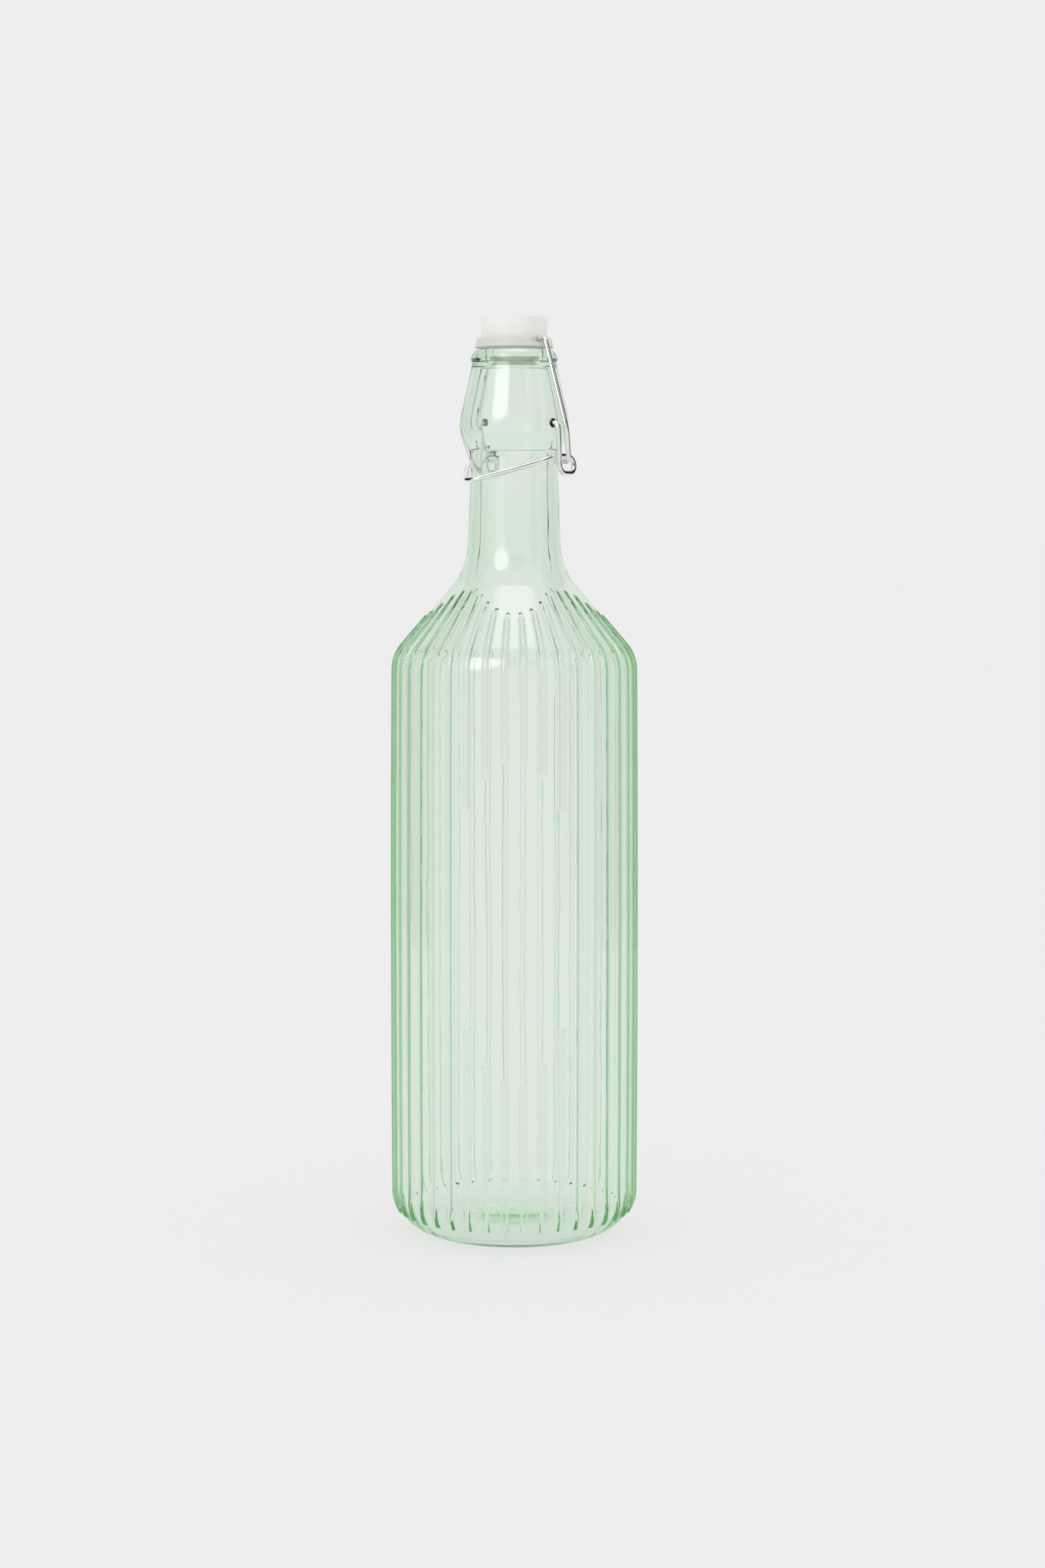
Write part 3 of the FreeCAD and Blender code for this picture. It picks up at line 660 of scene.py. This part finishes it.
def glass_rings(glass, ribs):
    """All rings of the glass: up the outside, over the lip, down the inside."""
    outside = soften(trace(outside_section(glass), TRACE_GAP), TRACE_SOFTENING)
    inside = soften(trace(inside_section(glass), TRACE_GAP), TRACE_SOFTENING)
    rib_foot = glass.body_radius - glass.heel_round + ribs.grid_foot
    rib_top = glass.shoulder_height + ribs.grid_top
    low = next(index for index, point in enumerate(outside) if point.x > rib_foot)
    high = next(index for index, point in enumerate(outside) if point.y > rib_top)
    coarse = rib_columns(ribs, glass.body_radius)[::COARSE_STEP]
    plain_gap = everywhere(PLAIN_GAP)
    foot = thin(outside[:low], PLAIN_TURN, plain_gap)
    top = thin(outside[high + SEAM_POINTS:], PLAIN_TURN, plain_gap)
    rings = [circle(max(0, point.x - barrel_inset(glass, point.y)), point.y, coarse) for point in foot]
    rings += ribbed_rings(glass, ribs, outside[low:high])
    rings += [circle(point.x, point.y, coarse) for point in top]
    for point in thin(inside, PLAIN_TURN, plain_gap)[1:]:
        if point.x < POINT_RADIUS:
            rings.append([Vector((0, 0, point.y))])
            continue
        inset = barrel_inset(glass, point.y) * min(1, point.x / glass.body_radius)
        ring = []
        for turn in coarse:
            across = point.x - inset + uneven(glass, point.x, turn, point.y)
            ring.append(Vector((across * math.cos(turn), across * math.sin(turn), point.y)))
        rings.append(ring)
    return rings


def socket_cutters(glass):
    """The blind holes of the collar, one on each side of the pivot axis."""
    floor = glass.collar_radius - glass.socket_depth
    mouth = glass.collar_radius - glass.socket_flare
    radius, flare = glass.socket_radius, glass.socket_flare
    profile = [(floor + rise, radius * share) for rise, share in SOCKET_FLOOR]
    profile += [(mouth + flare * out, radius + flare * widening) for out, widening in SOCKET_MOUTH]
    tip, clear = floor - SOCKET_TIP, profile[-1][0]
    cutters = []
    for name, side in (("right_socket", 1), ("left_socket", -1)):
        placed = [(side * place, across) for place, across in profile]
        cutters.append(spindle(name, placed, side * tip, side * clear, PIVOT.z))
    return cutters


# Wires

def bent_line(points, radii):
    """Points along straight runs joined by tangent arcs; radii are for the inner points."""
    line = [points[0]]
    for before, corner, after, radius in zip(points, points[1:], points[2:], radii):
        back, ahead = (before - corner).normalized(), (after - corner).normalized()
        half_turn = back.angle(ahead) / 2
        reach = radius / math.tan(half_turn)
        centre = corner + (back + ahead).normalized() * (radius / math.sin(half_turn))
        enter, leave = corner + back * reach, corner + ahead * reach
        spoke = enter - centre
        axis = spoke.cross(leave - centre)
        sweep = spoke.angle(leave - centre)
        count = max(3, round(sweep / BEND_STEP))
        turns = [Matrix.Rotation(sweep * step / count, 3, axis) for step in range(count + 1)]
        line += [centre + turn @ spoke for turn in turns]
    line.append(points[-1])
    return line


def divided(line, gap):
    """A line with points added on its long runs."""
    points = [line[0]]
    for start, end in zip(line, line[1:]):
        count = max(1, math.ceil((end - start).length / gap))
        points += [start.lerp(end, step / count) for step in range(1, count + 1)]
    return points


def wire_mesh(name, line, radius, sides=20):
    """A round wire along a line, with softly cut ends and a map that runs along it."""
    tangents = []
    for index in range(len(line)):
        before, after = line[max(0, index - 1)], line[min(len(line) - 1, index + 1)]
        tangents.append((after - before).normalized())
    across = tangents[0].orthogonal().normalized()
    rings, distances = [], []
    distance = 0.0
    bevel = radius * WIRE_BEVEL
    last = len(line) - 1
    for index, (place, along) in enumerate(zip(line, tangents)):
        across = (across - along * across.dot(along)).normalized()
        over = along.cross(across)
        if index:
            distance += (place - line[index - 1]).length
        spread = [(across * math.cos(turn) + over * math.sin(turn)) for turn in even_turns(sides)]
        if index == 0:
            rings += [[place], [place + way * (radius - bevel) for way in spread]]
            place = place + along * bevel
            distances += [distance, distance]
        elif index == last:
            place = place - along * bevel
        rings.append([place + way * radius for way in spread])
        distances.append(distance)
        if index == last:
            rings += [[line[last] + way * (radius - bevel) for way in spread], [line[last]]]
            distances += [distance, distance]
    mesh = skin(name, rings)
    map_wire(mesh, rings, distances, sides)
    return mesh


def map_wire(mesh, rings, distances, sides):
    """A map of the wire: once round it across, and metres along it up."""
    places = []
    for ring, distance in zip(rings, distances):
        places += [(column / sides, distance) for column in range(len(ring))]
    layer = mesh.uv_layers.new(name="along_wire")
    for face in mesh.polygons:
        corners = [places[mesh.loops[loop].vertex_index] for loop in face.loop_indices]
        wraps = max(across for across, up in corners) - min(across for across, up in corners) > 0.5
        for loop, (across, up) in zip(face.loop_indices, corners):
            layer.data[loop].uv = (across + 1 if wraps and across < 0.5 else across, up)


def mirrored(points):
    """A half path's points followed by their mirror images across the YZ plane."""
    return points + [Vector((-place.x, place.y, place.z)) for place in reversed(points)]


def lever_line(closure):
    """Socket pin, leg, a turn round the eye, and the handle round the front of the neck."""
    leg = LEVER_BOX[1].x - closure.wire_radius
    inner = leg - 2 * closure.wire_radius - closure.wire_gap
    eye_rear = LEVER_BOX[1].y - closure.wire_radius
    eye_top = HOOK.z + 2 * closure.wire_radius + closure.wire_gap
    eye_low = eye_top - 2 * closure.eye_radius
    tip_lead = -LEVER_BOX[0].y - closure.wire_radius
    slope = math.tan(closure.handle_slope)

    def on_handle(across, lead):
        return Vector((across, -lead, eye_top - (lead + closure.saddle_back) * slope))

    half = [
        Vector((leg - closure.pin_length, 0, PIVOT.z)),
        Vector((leg, 0, PIVOT.z)),
        Vector((leg, closure.eye_front, eye_low)),
        Vector((leg - closure.eye_drift, eye_rear, eye_low)),
        Vector((inner + closure.eye_drift, eye_rear, eye_top)),
        Vector((inner, closure.saddle_back, eye_top)),
        on_handle(closure.knuckle_offset, closure.knuckle_lead),
        on_handle(closure.tip_half_width, tip_lead),
    ]
    eye_bend = closure.eye_radius - closure.eye_flat
    bends = [closure.bend_radius, eye_bend, eye_bend, eye_bend, closure.saddle_bend, closure.knuckle_bend,
             closure.tip_bend]
    return bent_line(mirrored(half), bends + bends[::-1])


def bail_line(closure):
    """Hook through the eye, leg out to the knee, slant in to the stopper and straight through it."""
    leg = LEVER_BOX[1].x + closure.wire_radius + closure.wire_gap
    half = [
        Vector((leg - closure.hook_length, HOOK.y, HOOK.z)),
        Vector((leg, HOOK.y, HOOK.z)),
        Vector((leg + closure.knee_swell, -closure.knee_lead, PIVOT.z - closure.knee_drop)),
        Vector((STOPPER_BOX[1].x + closure.bail_top_gap, 0, CROSS_BORE.z)),
    ]
    bends = [closure.bend_radius, closure.knee_bend, closure.bend_radius]
    return bent_line(mirrored(half), bends + bends[::-1])


# Stopper and gasket

def stopper_section(closure):
    """The stopper from the bottom of its stem to the middle of its top."""
    low, top = STOPPER_BOX[0].z, STOPPER_BOX[1].z
    seat = GASKET_BOX[1].z
    recess = GASKET_BOX[1].x + closure.recess_gap
    flange = STOPPER_BOX[1].x
    flange_top = flange - closure.flange_taper
    drum = flange_top - closure.drum_step
    flange_height = seat + closure.flange_thickness
    gate = closure.gate_radius
    gate_floor = top - closure.gate_depth
    return [
        Corner(0, low),
        Corner(closure.stem_radius, low, round=closure.stem_round),
        Corner(closure.stem_radius, seat),
        Corner(recess, seat),
        Corner(recess + closure.flange_drop, seat - closure.flange_drop),
        Corner(flange, seat - closure.flange_drop),
        Corner(flange_top, flange_height),
        Corner(drum, flange_height),
        Corner(drum, top - closure.crown_rise, round=closure.drum_round),
        Corner(gate + closure.gate_slope, top - closure.gate_dish),
        Corner(gate, gate_floor - closure.gate_dish),
        Corner(0, gate_floor),
    ]


def box_cutter(name, centre, reach, edge_round):
    """A box with softened edges, from its centre and half sizes."""
    mesh = bpy.data.meshes.new(name)
    shape = bmesh.new()
    bmesh.ops.create_cube(shape, size=2, matrix=Matrix.Translation(centre) @ Matrix.Diagonal(reach).to_4x4())
    bmesh.ops.bevel(shape, geom=shape.edges[:], offset=edge_round, segments=3, affect="EDGES", profile=0.5)
    shape.to_mesh(mesh)
    shape.free()
    return mesh


def stopper_cutters(closure):
    """The cross bore and the notches at its ends."""
    flange = STOPPER_BOX[1].x
    bore = closure.wire_radius + closure.bore_gap
    ends = flange + CUT_PAST
    cutters = [spindle("cross_bore", [(-ends, bore), (ends, bore)], -ends, ends, CROSS_BORE.z)]
    half_height = 2 * closure.notch_drop
    middle = CROSS_BORE.z - closure.notch_drop + half_height
    reach = Vector((closure.notch_depth, closure.notch_width / 2, half_height))
    for name, side in (("right_notch", 1), ("left_notch", -1)):
        cutters.append(box_cutter(name, Vector((side * flange, 0, middle)), reach, closure.notch_round))
    return cutters


def gasket_section(closure):
    """The rubber ring's section as a closed loop."""
    low, high = GASKET_BOX
    bore = closure.stem_radius + closure.stem_gap
    return [
        Corner(bore, low.z),
        Corner(high.x - closure.gasket_slope, low.z),
        Corner(high.x, high.z),
        Corner(bore, high.z),
        Corner(bore, low.z),
    ]


def turned(name, section, softening, gap, closed=False):
    """A half section turned round the axis; closed is for a section that is a loop."""
    points = soften(trace(section, CLOSURE_TRACE_GAP), softening)
    line = thin(points, CLOSURE_TURN, everywhere(gap))
    if closed:
        line.pop()
    turns = even_turns(CLOSURE_SIDES)
    return skin(name, [circle(point.x, point.y, turns) for point in line], closed)


# Materials

def feed(made, **inputs):
    """Sets or links a node's inputs by name; spaces in a name are written as underscores."""
    for name, value in inputs.items():
        socket = made.inputs[name.replace("_", " ")]
        if isinstance(value, bpy.types.NodeSocket):
            made.id_data.links.new(value, socket)
        else:
            socket.default_value = value


def node(tree, kind, **inputs):
    """A new shader node with its inputs set or linked."""
    made = tree.nodes.new(kind)
    feed(made, **inputs)
    return made


def new_material(name):
    """A material with a principled shader: the material, its tree and that shader."""
    material = bpy.data.materials.new(name)
    material.use_nodes = True
    tree = material.node_tree
    return material, tree, tree.nodes["Principled BSDF"]


def opaque(rgb):
    """A colour with full alpha."""
    return (*rgb, 1.0)


def grey(level):
    """An opaque grey."""
    return (level, level, level, 1.0)


def ramp(tree, source, stops):
    """A colour ramp fed by a value, with (place, level or colour) stops."""
    made = node(tree, "ShaderNodeValToRGB", Fac=source)
    for element, (place, level) in zip(made.color_ramp.elements, stops):
        element.position = place
        element.color = opaque(level) if hasattr(level, "__len__") else grey(level)
    return made.outputs["Color"]


def blend(tree, factor, first, second):
    """A mix of two shaders: the first where the factor is 0, the second where it is 1."""
    made = node(tree, "ShaderNodeMixShader", Fac=factor)
    tree.links.new(first, made.inputs[1])
    tree.links.new(second, made.inputs[2])
    return made.outputs["Shader"]


def mapped_noise(tree, place, scale, detail, stretch):
    """Noise over given coordinates."""
    mapping = node(tree, "ShaderNodeMapping", Vector=place, Scale=stretch)
    texture = node(tree, "ShaderNodeTexNoise", Vector=mapping.outputs["Vector"], Scale=scale, Detail=detail)
    return texture.outputs["Fac"]


def object_noise(tree, scale, detail, stretch=(1, 1, 1)):
    """Noise in the object's own space."""
    place = tree.nodes.new("ShaderNodeTexCoord")
    return mapped_noise(tree, place.outputs["Object"], scale, detail, stretch)


def bump(tree, height, strength, distance):
    """The normal of a surface that is roughened by a height."""
    made = node(tree, "ShaderNodeBump", Height=height, Strength=strength, Distance=distance)
    return made.outputs["Normal"]


def glass_material(finish):
    """Green bottle glass: clear, tinted through its depth, with the faint ripple of moulding."""
    material, tree, shader = new_material("bottle_glass")
    haze = ramp(tree, object_noise(tree, scale=55, detail=3), [(0.35, 0.0), (0.8, 0.03)])
    ripple = object_noise(tree, scale=90, detail=2, stretch=(1, 1, 0.4))
    feed(shader, Base_Color=grey(1.0), IOR=1.52, Transmission_Weight=1.0, Roughness=haze,
         Normal=bump(tree, ripple, strength=0.1, distance=0.6 * MM))
    rays = tree.nodes.new("ShaderNodeLightPath")
    clear = node(tree, "ShaderNodeBsdfTransparent", Color=opaque(finish.glass_shadow))
    surface = blend(tree, rays.outputs["Is Shadow Ray"], shader.outputs["BSDF"], clear.outputs["BSDF"])
    depth = node(tree, "ShaderNodeVolumeAbsorption", Color=opaque(finish.glass_absorption),
                 Density=finish.glass_density)
    feed(tree.nodes["Material Output"], Surface=surface, Volume=depth.outputs["Volume"])
    return material


def wire_material(finish):
    """Plated steel wire with fine lines drawn along it and a few dull spots."""
    material, tree, shader = new_material("drawn_steel")
    place = tree.nodes.new("ShaderNodeUVMap")
    place.uv_map = "along_wire"
    lines = mapped_noise(tree, place.outputs["UV"], scale=1.0, detail=4.0, stretch=(26.0, 130.0, 1.0))
    spots = object_noise(tree, scale=260, detail=3)
    plate = ramp(tree, spots, [(0.3, finish.steel), (0.7, finish.bright_steel)])
    gloss = ramp(tree, lines, [(0.3, 0.04), (0.75, 0.13)])
    feed(shader, Base_Color=plate, Metallic=1.0, Roughness=gloss,
         Normal=bump(tree, lines, strength=0.06, distance=0.05 * MM))
    return material


def stopper_material(finish, flange_height):
    """White moulded plastic that light enters a little, with a fine satin grain, and a darker green shade
    painted on the flange and the stem under the flange's top.
    """
    material, tree, shader = new_material("white_plastic")
    cloud = object_noise(tree, scale=120, detail=4)
    white = ramp(tree, cloud, [(0.3, finish.stopper_shade), (0.62, finish.stopper_white)])
    place = tree.nodes.new("ShaderNodeTexCoord")
    # Painted shade: under the flange's top the white turns to a darker green, for the light that comes
    # through the green glass
    split = node(tree, "ShaderNodeSeparateXYZ", Vector=place.outputs["Object"])
    over = node(tree, "ShaderNodeMapRange", Value=split.outputs["Z"],
                From_Min=flange_height - finish.painted_shade_below, From_Max=flange_height + finish.painted_shade_above)
    shaded_plastic = node(tree, "ShaderNodeMixRGB", Fac=over.outputs["Result"], Color1=opaque(finish.flange_painted_shade),
                Color2=white)
    satin = ramp(tree, object_noise(tree, scale=700, detail=3), [(0.3, 0.45), (0.7, 0.6)])
    grain = object_noise(tree, scale=2600, detail=2)
    feed(shader, Base_Color=shaded_plastic.outputs["Color"], Roughness=satin, Specular_IOR_Level=0.25,
         Subsurface_Weight=0.35, Subsurface_Radius=(1.0, 1.0, 0.9), Subsurface_Scale=2.5 * MM,
         Normal=bump(tree, grain, strength=0.15, distance=0.06 * MM))
    return material


def gasket_material(finish):
    """Pale soft rubber, matt, with a fine grain and worn patches."""
    material, tree, shader = new_material("pale_rubber")
    worn = object_noise(tree, scale=210, detail=4)
    pale = ramp(tree, worn, [(0.3, finish.gasket_shade), (0.65, finish.gasket_pale)])
    matt = ramp(tree, object_noise(tree, scale=900, detail=3), [(0.3, 0.5), (0.7, 0.7)])
    grain = object_noise(tree, scale=3200, detail=2)
    feed(shader, Base_Color=pale, Roughness=matt, Normal=bump(tree, grain, strength=0.3, distance=0.1 * MM))
    return material


# Stage

def place_round(azimuth, distance, height):
    """A place round the bottle's axis; azimuth 0 is in front of the bottle."""
    return Vector((distance * math.sin(azimuth), -distance * math.cos(azimuth), height))


def face_axis(item, azimuth, distance, height, aim):
    """Puts an object at a place round the axis, where it looks at a height on the axis."""
    item.location = place_round(azimuth, distance, height)
    item.rotation_euler = (Vector((0, 0, aim)) - item.location).to_track_quat("-Z", "Y").to_euler()
    bpy.context.scene.collection.objects.link(item)


def floor_material(stage):
    """A pale floor that shows shadows and runs into the backdrop without an edge."""
    material, tree, shader = new_material("pale_floor")
    level = stage.backdrop[0] / stage.fill * stage.floor_match
    cloud = object_noise(tree, scale=40, detail=3)
    grain = ramp(tree, cloud, [(0.3, level * stage.floor_grain), (0.7, level)])
    feed(shader, Base_Color=grain, Roughness=1.0, Specular_IOR_Level=0.0)
    rays = tree.nodes.new("ShaderNodeLightPath")
    lift = node(tree, "ShaderNodeMapRange", Value=rays.outputs["Is Diffuse Ray"], To_Min=stage.floor_lift,
                To_Max=0.0)
    glow = node(tree, "ShaderNodeEmission", Color=opaque(stage.backdrop))
    surface = blend(tree, lift.outputs["Result"], shader.outputs["BSDF"], glow.outputs["Emission"])
    feed(tree.nodes["Material Output"], Surface=surface)
    return material


def make_floor(stage):
    """A level floor that runs on past the horizon of the picture."""
    mesh = bpy.data.meshes.new("floor")
    shape = bmesh.new()
    bmesh.ops.create_grid(shape, x_segments=4, y_segments=4, size=FLOOR_REACH)
    shape.to_mesh(mesh)
    shape.free()
    mesh.materials.append(floor_material(stage))
    floor = bpy.data.objects.new("floor", mesh)
    bpy.context.scene.collection.objects.link(floor)


def make_world(stage):
    """Even light all round; the camera, the glass and the wire see a pale backdrop and a dimmer room."""
    world = bpy.data.worlds.new("surround")
    bpy.context.scene.world = world
    world.use_nodes = True
    tree = world.node_tree
    tree.nodes.clear()
    rays = tree.nodes.new("ShaderNodeLightPath")
    place = tree.nodes.new("ShaderNodeTexCoord")
    away = tree.nodes.new("ShaderNodeVectorMath")
    away.operation = "DOT_PRODUCT"
    away.inputs[1].default_value = place_round(stage.camera_azimuth, -1.0, 0.0)
    tree.links.new(place.outputs["Generated"], away.inputs[0])
    ahead = node(tree, "ShaderNodeMapRange", Value=away.outputs["Value"], From_Min=-1.0, From_Max=1.0)
    stops = [(stage.room_edge, stage.room), (stage.backdrop_edge, stage.backdrop)]
    backdrop = node(tree, "ShaderNodeBackground", Color=opaque(stage.backdrop))
    reflected = node(tree, "ShaderNodeBackground", Color=ramp(tree, ahead.outputs["Result"], stops))
    even = node(tree, "ShaderNodeBackground", Color=grey(stage.fill))
    seen = tree.nodes.new("ShaderNodeMath")
    seen.operation = "MAXIMUM"
    tree.links.new(rays.outputs["Is Camera Ray"], seen.inputs[0])
    tree.links.new(rays.outputs["Is Transmission Ray"], seen.inputs[1])
    light = blend(tree, rays.outputs["Is Glossy Ray"], even.outputs["Background"],
                  reflected.outputs["Background"])
    view = blend(tree, seen.outputs["Value"], light, backdrop.outputs["Background"])
    node(tree, "ShaderNodeOutputWorld", Surface=view)


def card_material(name, level):
    """A glowing face that fades out softly towards its edge."""
    material = bpy.data.materials.new(name)
    material.use_nodes = True
    tree = material.node_tree
    tree.nodes.clear()
    place = tree.nodes.new("ShaderNodeTexCoord")
    centred = node(tree, "ShaderNodeMapping", Vector=place.outputs["Generated"], Location=(-1.0, -1.0, 0.0),
                   Scale=(2.0, 2.0, 0.0))
    round_fade = node(tree, "ShaderNodeTexGradient", Vector=centred.outputs["Vector"])
    round_fade.gradient_type = "SPHERICAL"
    glow = node(tree, "ShaderNodeEmission", Strength=level)
    clear = tree.nodes.new("ShaderNodeBsdfTransparent")
    edge = ramp(tree, round_fade.outputs["Fac"], [(0.0, 0.0), (0.35, 1.0)])
    surface = blend(tree, edge, clear.outputs["BSDF"], glow.outputs["Emission"])
    node(tree, "ShaderNodeOutputMaterial", Surface=surface)
    return material


def make_card(name, azimuth, distance, height, aim, width, tall, level, seen_through=False):
    """A card outside the picture that looks at the axis, seen either through the glass or in reflections."""
    half, rise = width / 2, tall / 2
    corners = [(-half, -rise, 0), (half, -rise, 0), (half, rise, 0), (-half, rise, 0)]
    mesh = bpy.data.meshes.new(name)
    mesh.from_pydata(corners, [], [(0, 1, 2, 3)])
    mesh.materials.append(card_material(name, level))
    card = bpy.data.objects.new(name, mesh)
    card.visible_camera = False
    card.visible_diffuse = False
    card.visible_shadow = False
    card.visible_transmission = seen_through
    card.visible_glossy = not seen_through
    face_axis(card, azimuth, distance, height, aim)


def make_cards(stage):
    """Dark cards that edge the glass and the wire, and bright cards that they reflect."""
    dark, front = stage.flag_level, stage.camera_azimuth
    sides = (("left", -1), ("right", 1))
    for name, side in sides:
        make_card(name + "_flag", front + side * math.radians(100), distance=0.7, height=0.6, aim=0.6,
                  width=1.0, tall=1.8, level=dark)
    for name, side in sides:
        make_card(name + "_line", front + side * math.radians(122), distance=0.8, height=0.4, aim=0.4,
                  width=0.08, tall=1.6, level=dark, seen_through=True)
    make_card("front_flag", front + math.radians(10), distance=1.3, height=1.0, aim=0.3,
              width=1.2, tall=0.9, level=dark)
    make_card("near_flag", front + math.radians(50), distance=1.0, height=0.5, aim=0.5,
              width=0.4, tall=1.1, level=dark)
    make_card("left_card", front - math.radians(33), distance=1.1, height=0.88, aim=0.88,
              width=0.86, tall=1.05, level=stage.card_level)
    make_card("top_card", front, distance=0.12, height=1.25, aim=0.2,
              width=0.85, tall=0.5, level=stage.top_level)


def make_lamp(name, azimuth, distance, height, aim, width, tall, power):
    """A soft rectangular lamp that looks at a height on the axis."""
    data = bpy.data.lights.new(name, "AREA")
    data.shape = "RECTANGLE"
    data.size = width
    data.size_y = tall
    data.energy = power
    face_axis(bpy.data.objects.new(name, data), azimuth, distance, height, aim)


def make_camera(stage):
    """The camera of the picture, with its frame shifted down."""
    data = bpy.data.cameras.new("camera")
    data.lens = stage.camera_lens
    data.sensor_width = stage.camera_frame
    data.shift_y = -stage.camera_drop / stage.camera_distance * stage.camera_lens / stage.camera_frame
    camera = bpy.data.objects.new("camera", data)
    azimuth = stage.camera_azimuth
    camera.location = place_round(azimuth, stage.camera_distance, stage.camera_height)
    camera.rotation_euler = (math.pi / 2 - stage.camera_tilt, 0, azimuth - stage.camera_swing)
    bpy.context.scene.collection.objects.link(camera)
    bpy.context.scene.camera = camera


class BOTTLE_OT_glass(bpy.types.Operator):
    """Make the ribbed glass bottle"""
    bl_idname = "bottle.glass"
    bl_label = "Glass"

    def execute(self, context):
        scene = context.scene
        mesh = skin("glass", glass_rings(scene.bottle_glass, scene.bottle_ribs))
        carved = carve(mesh, socket_cutters(scene.bottle_glass), GLASS_SHARP)
        new_piece("glass_bottle", carved, glass_material(scene.bottle_finishes), "bottle", "bottle")
        return {"FINISHED"}


class BOTTLE_OT_wires(bpy.types.Operator):
    """Make the lever wire and the bail wire"""
    bl_idname = "bottle.wires"
    bl_label = "Wires"

    def execute(self, context):
        closure = context.scene.bottle_closure
        steel = wire_material(context.scene.bottle_finishes)
        lever = wire_mesh("lever", divided(lever_line(closure), WIRE_GAP), closure.wire_radius)
        bail = wire_mesh("bail", divided(bail_line(closure), WIRE_GAP), closure.wire_radius)
        new_piece("lever_bent_wire", lever, steel, "lever", "lever_wire")
        new_piece("bail_bent_wire", bail, steel, "bail", "bail_wire")
        return {"FINISHED"}


class BOTTLE_OT_stopper(bpy.types.Operator):
    """Make the stopper and the gasket under it"""
    bl_idname = "bottle.stopper"
    bl_label = "Stopper and gasket"

    def execute(self, context):
        closure = context.scene.bottle_closure
        finish = context.scene.bottle_finishes
        cap = turned("stopper", stopper_section(closure), STOPPER_SOFTENING, STOPPER_GAP)
        cap = carve(cap, stopper_cutters(closure), STOPPER_SHARP)
        plastic = stopper_material(finish, GASKET_BOX[1].z + closure.flange_thickness)
        new_piece("stopper_moulding", cap, plastic, "stopper", "stopper_cap")
        ring = turned("gasket", gasket_section(closure), GASKET_SOFTENING, GASKET_GAP, closed=True)
        new_piece("gasket_ring", ring, gasket_material(finish), "stopper", "gasket")
        return {"FINISHED"}


class BOTTLE_OT_stage(bpy.types.Operator):
    """Make the floor, the light and the camera"""
    bl_idname = "bottle.stage"
    bl_label = "Stage"

    def execute(self, context):
        stage = context.scene.bottle_stage
        make_floor(stage)
        make_world(stage)
        make_lamp("left_softbox", math.radians(10), distance=1.3, height=0.75, aim=0.2,
                  width=0.6, tall=0.9, power=1.5)
        make_cards(stage)
        make_camera(stage)
        context.scene.view_settings.view_transform = "Standard"
        # Light goes to and fro many times in the ribs and the wall of the glass
        context.scene.cycles.max_bounces = 32
        context.scene.cycles.glossy_bounces = 24
        context.scene.cycles.transmission_bounces = 24
        return {"FINISHED"}


class BOTTLE_PT_panel(bpy.types.Panel):
    """The bottle's pieces and sizes"""
    bl_idname = "BOTTLE_PT_panel"
    bl_label = "Swing Top Bottle"
    bl_space_type = "VIEW_3D"
    bl_region_type = "UI"
    bl_category = "Bottle"

    def draw(self, context):
        for operator, groups in PIECES.items():
            box = self.layout.box()
            box.operator(operator)
            for group in groups:
                settings = getattr(context.scene, group)
                for name in settings.__annotations__:
                    box.prop(settings, name, text=name.replace("_", " ").capitalize())


# Each operator with the groups of settings that the panel lists under it
PIECES = {
    "bottle.glass": ["bottle_glass", "bottle_ribs"],
    "bottle.wires": ["bottle_closure"],
    "bottle.stopper": ["bottle_finishes"],
    "bottle.stage": ["bottle_stage"],
}
GROUPS = {
    "bottle_glass": GlassSizes,
    "bottle_ribs": RibSizes,
    "bottle_closure": ClosureSizes,
    "bottle_finishes": Finishes,
    "bottle_stage": StageSizes,
}
OPERATORS = [BOTTLE_OT_glass, BOTTLE_OT_wires, BOTTLE_OT_stopper, BOTTLE_OT_stage]


def register():
    for name, group in GROUPS.items():
        bpy.utils.register_class(group)
        setattr(bpy.types.Scene, name, PointerProperty(type=group))
    for operator in OPERATORS:
        bpy.utils.register_class(operator)
    bpy.utils.register_class(BOTTLE_PT_panel)


def unregister():
    bpy.utils.unregister_class(BOTTLE_PT_panel)
    for operator in reversed(OPERATORS):
        bpy.utils.unregister_class(operator)
    for name, group in GROUPS.items():
        delattr(bpy.types.Scene, name)
        bpy.utils.unregister_class(group)


def main():
    register()
    bpy.ops.bottle.glass()
    bpy.ops.bottle.wires()
    bpy.ops.bottle.stopper()
    bpy.ops.bottle.stage()


if __name__ == "__main__":
    main()
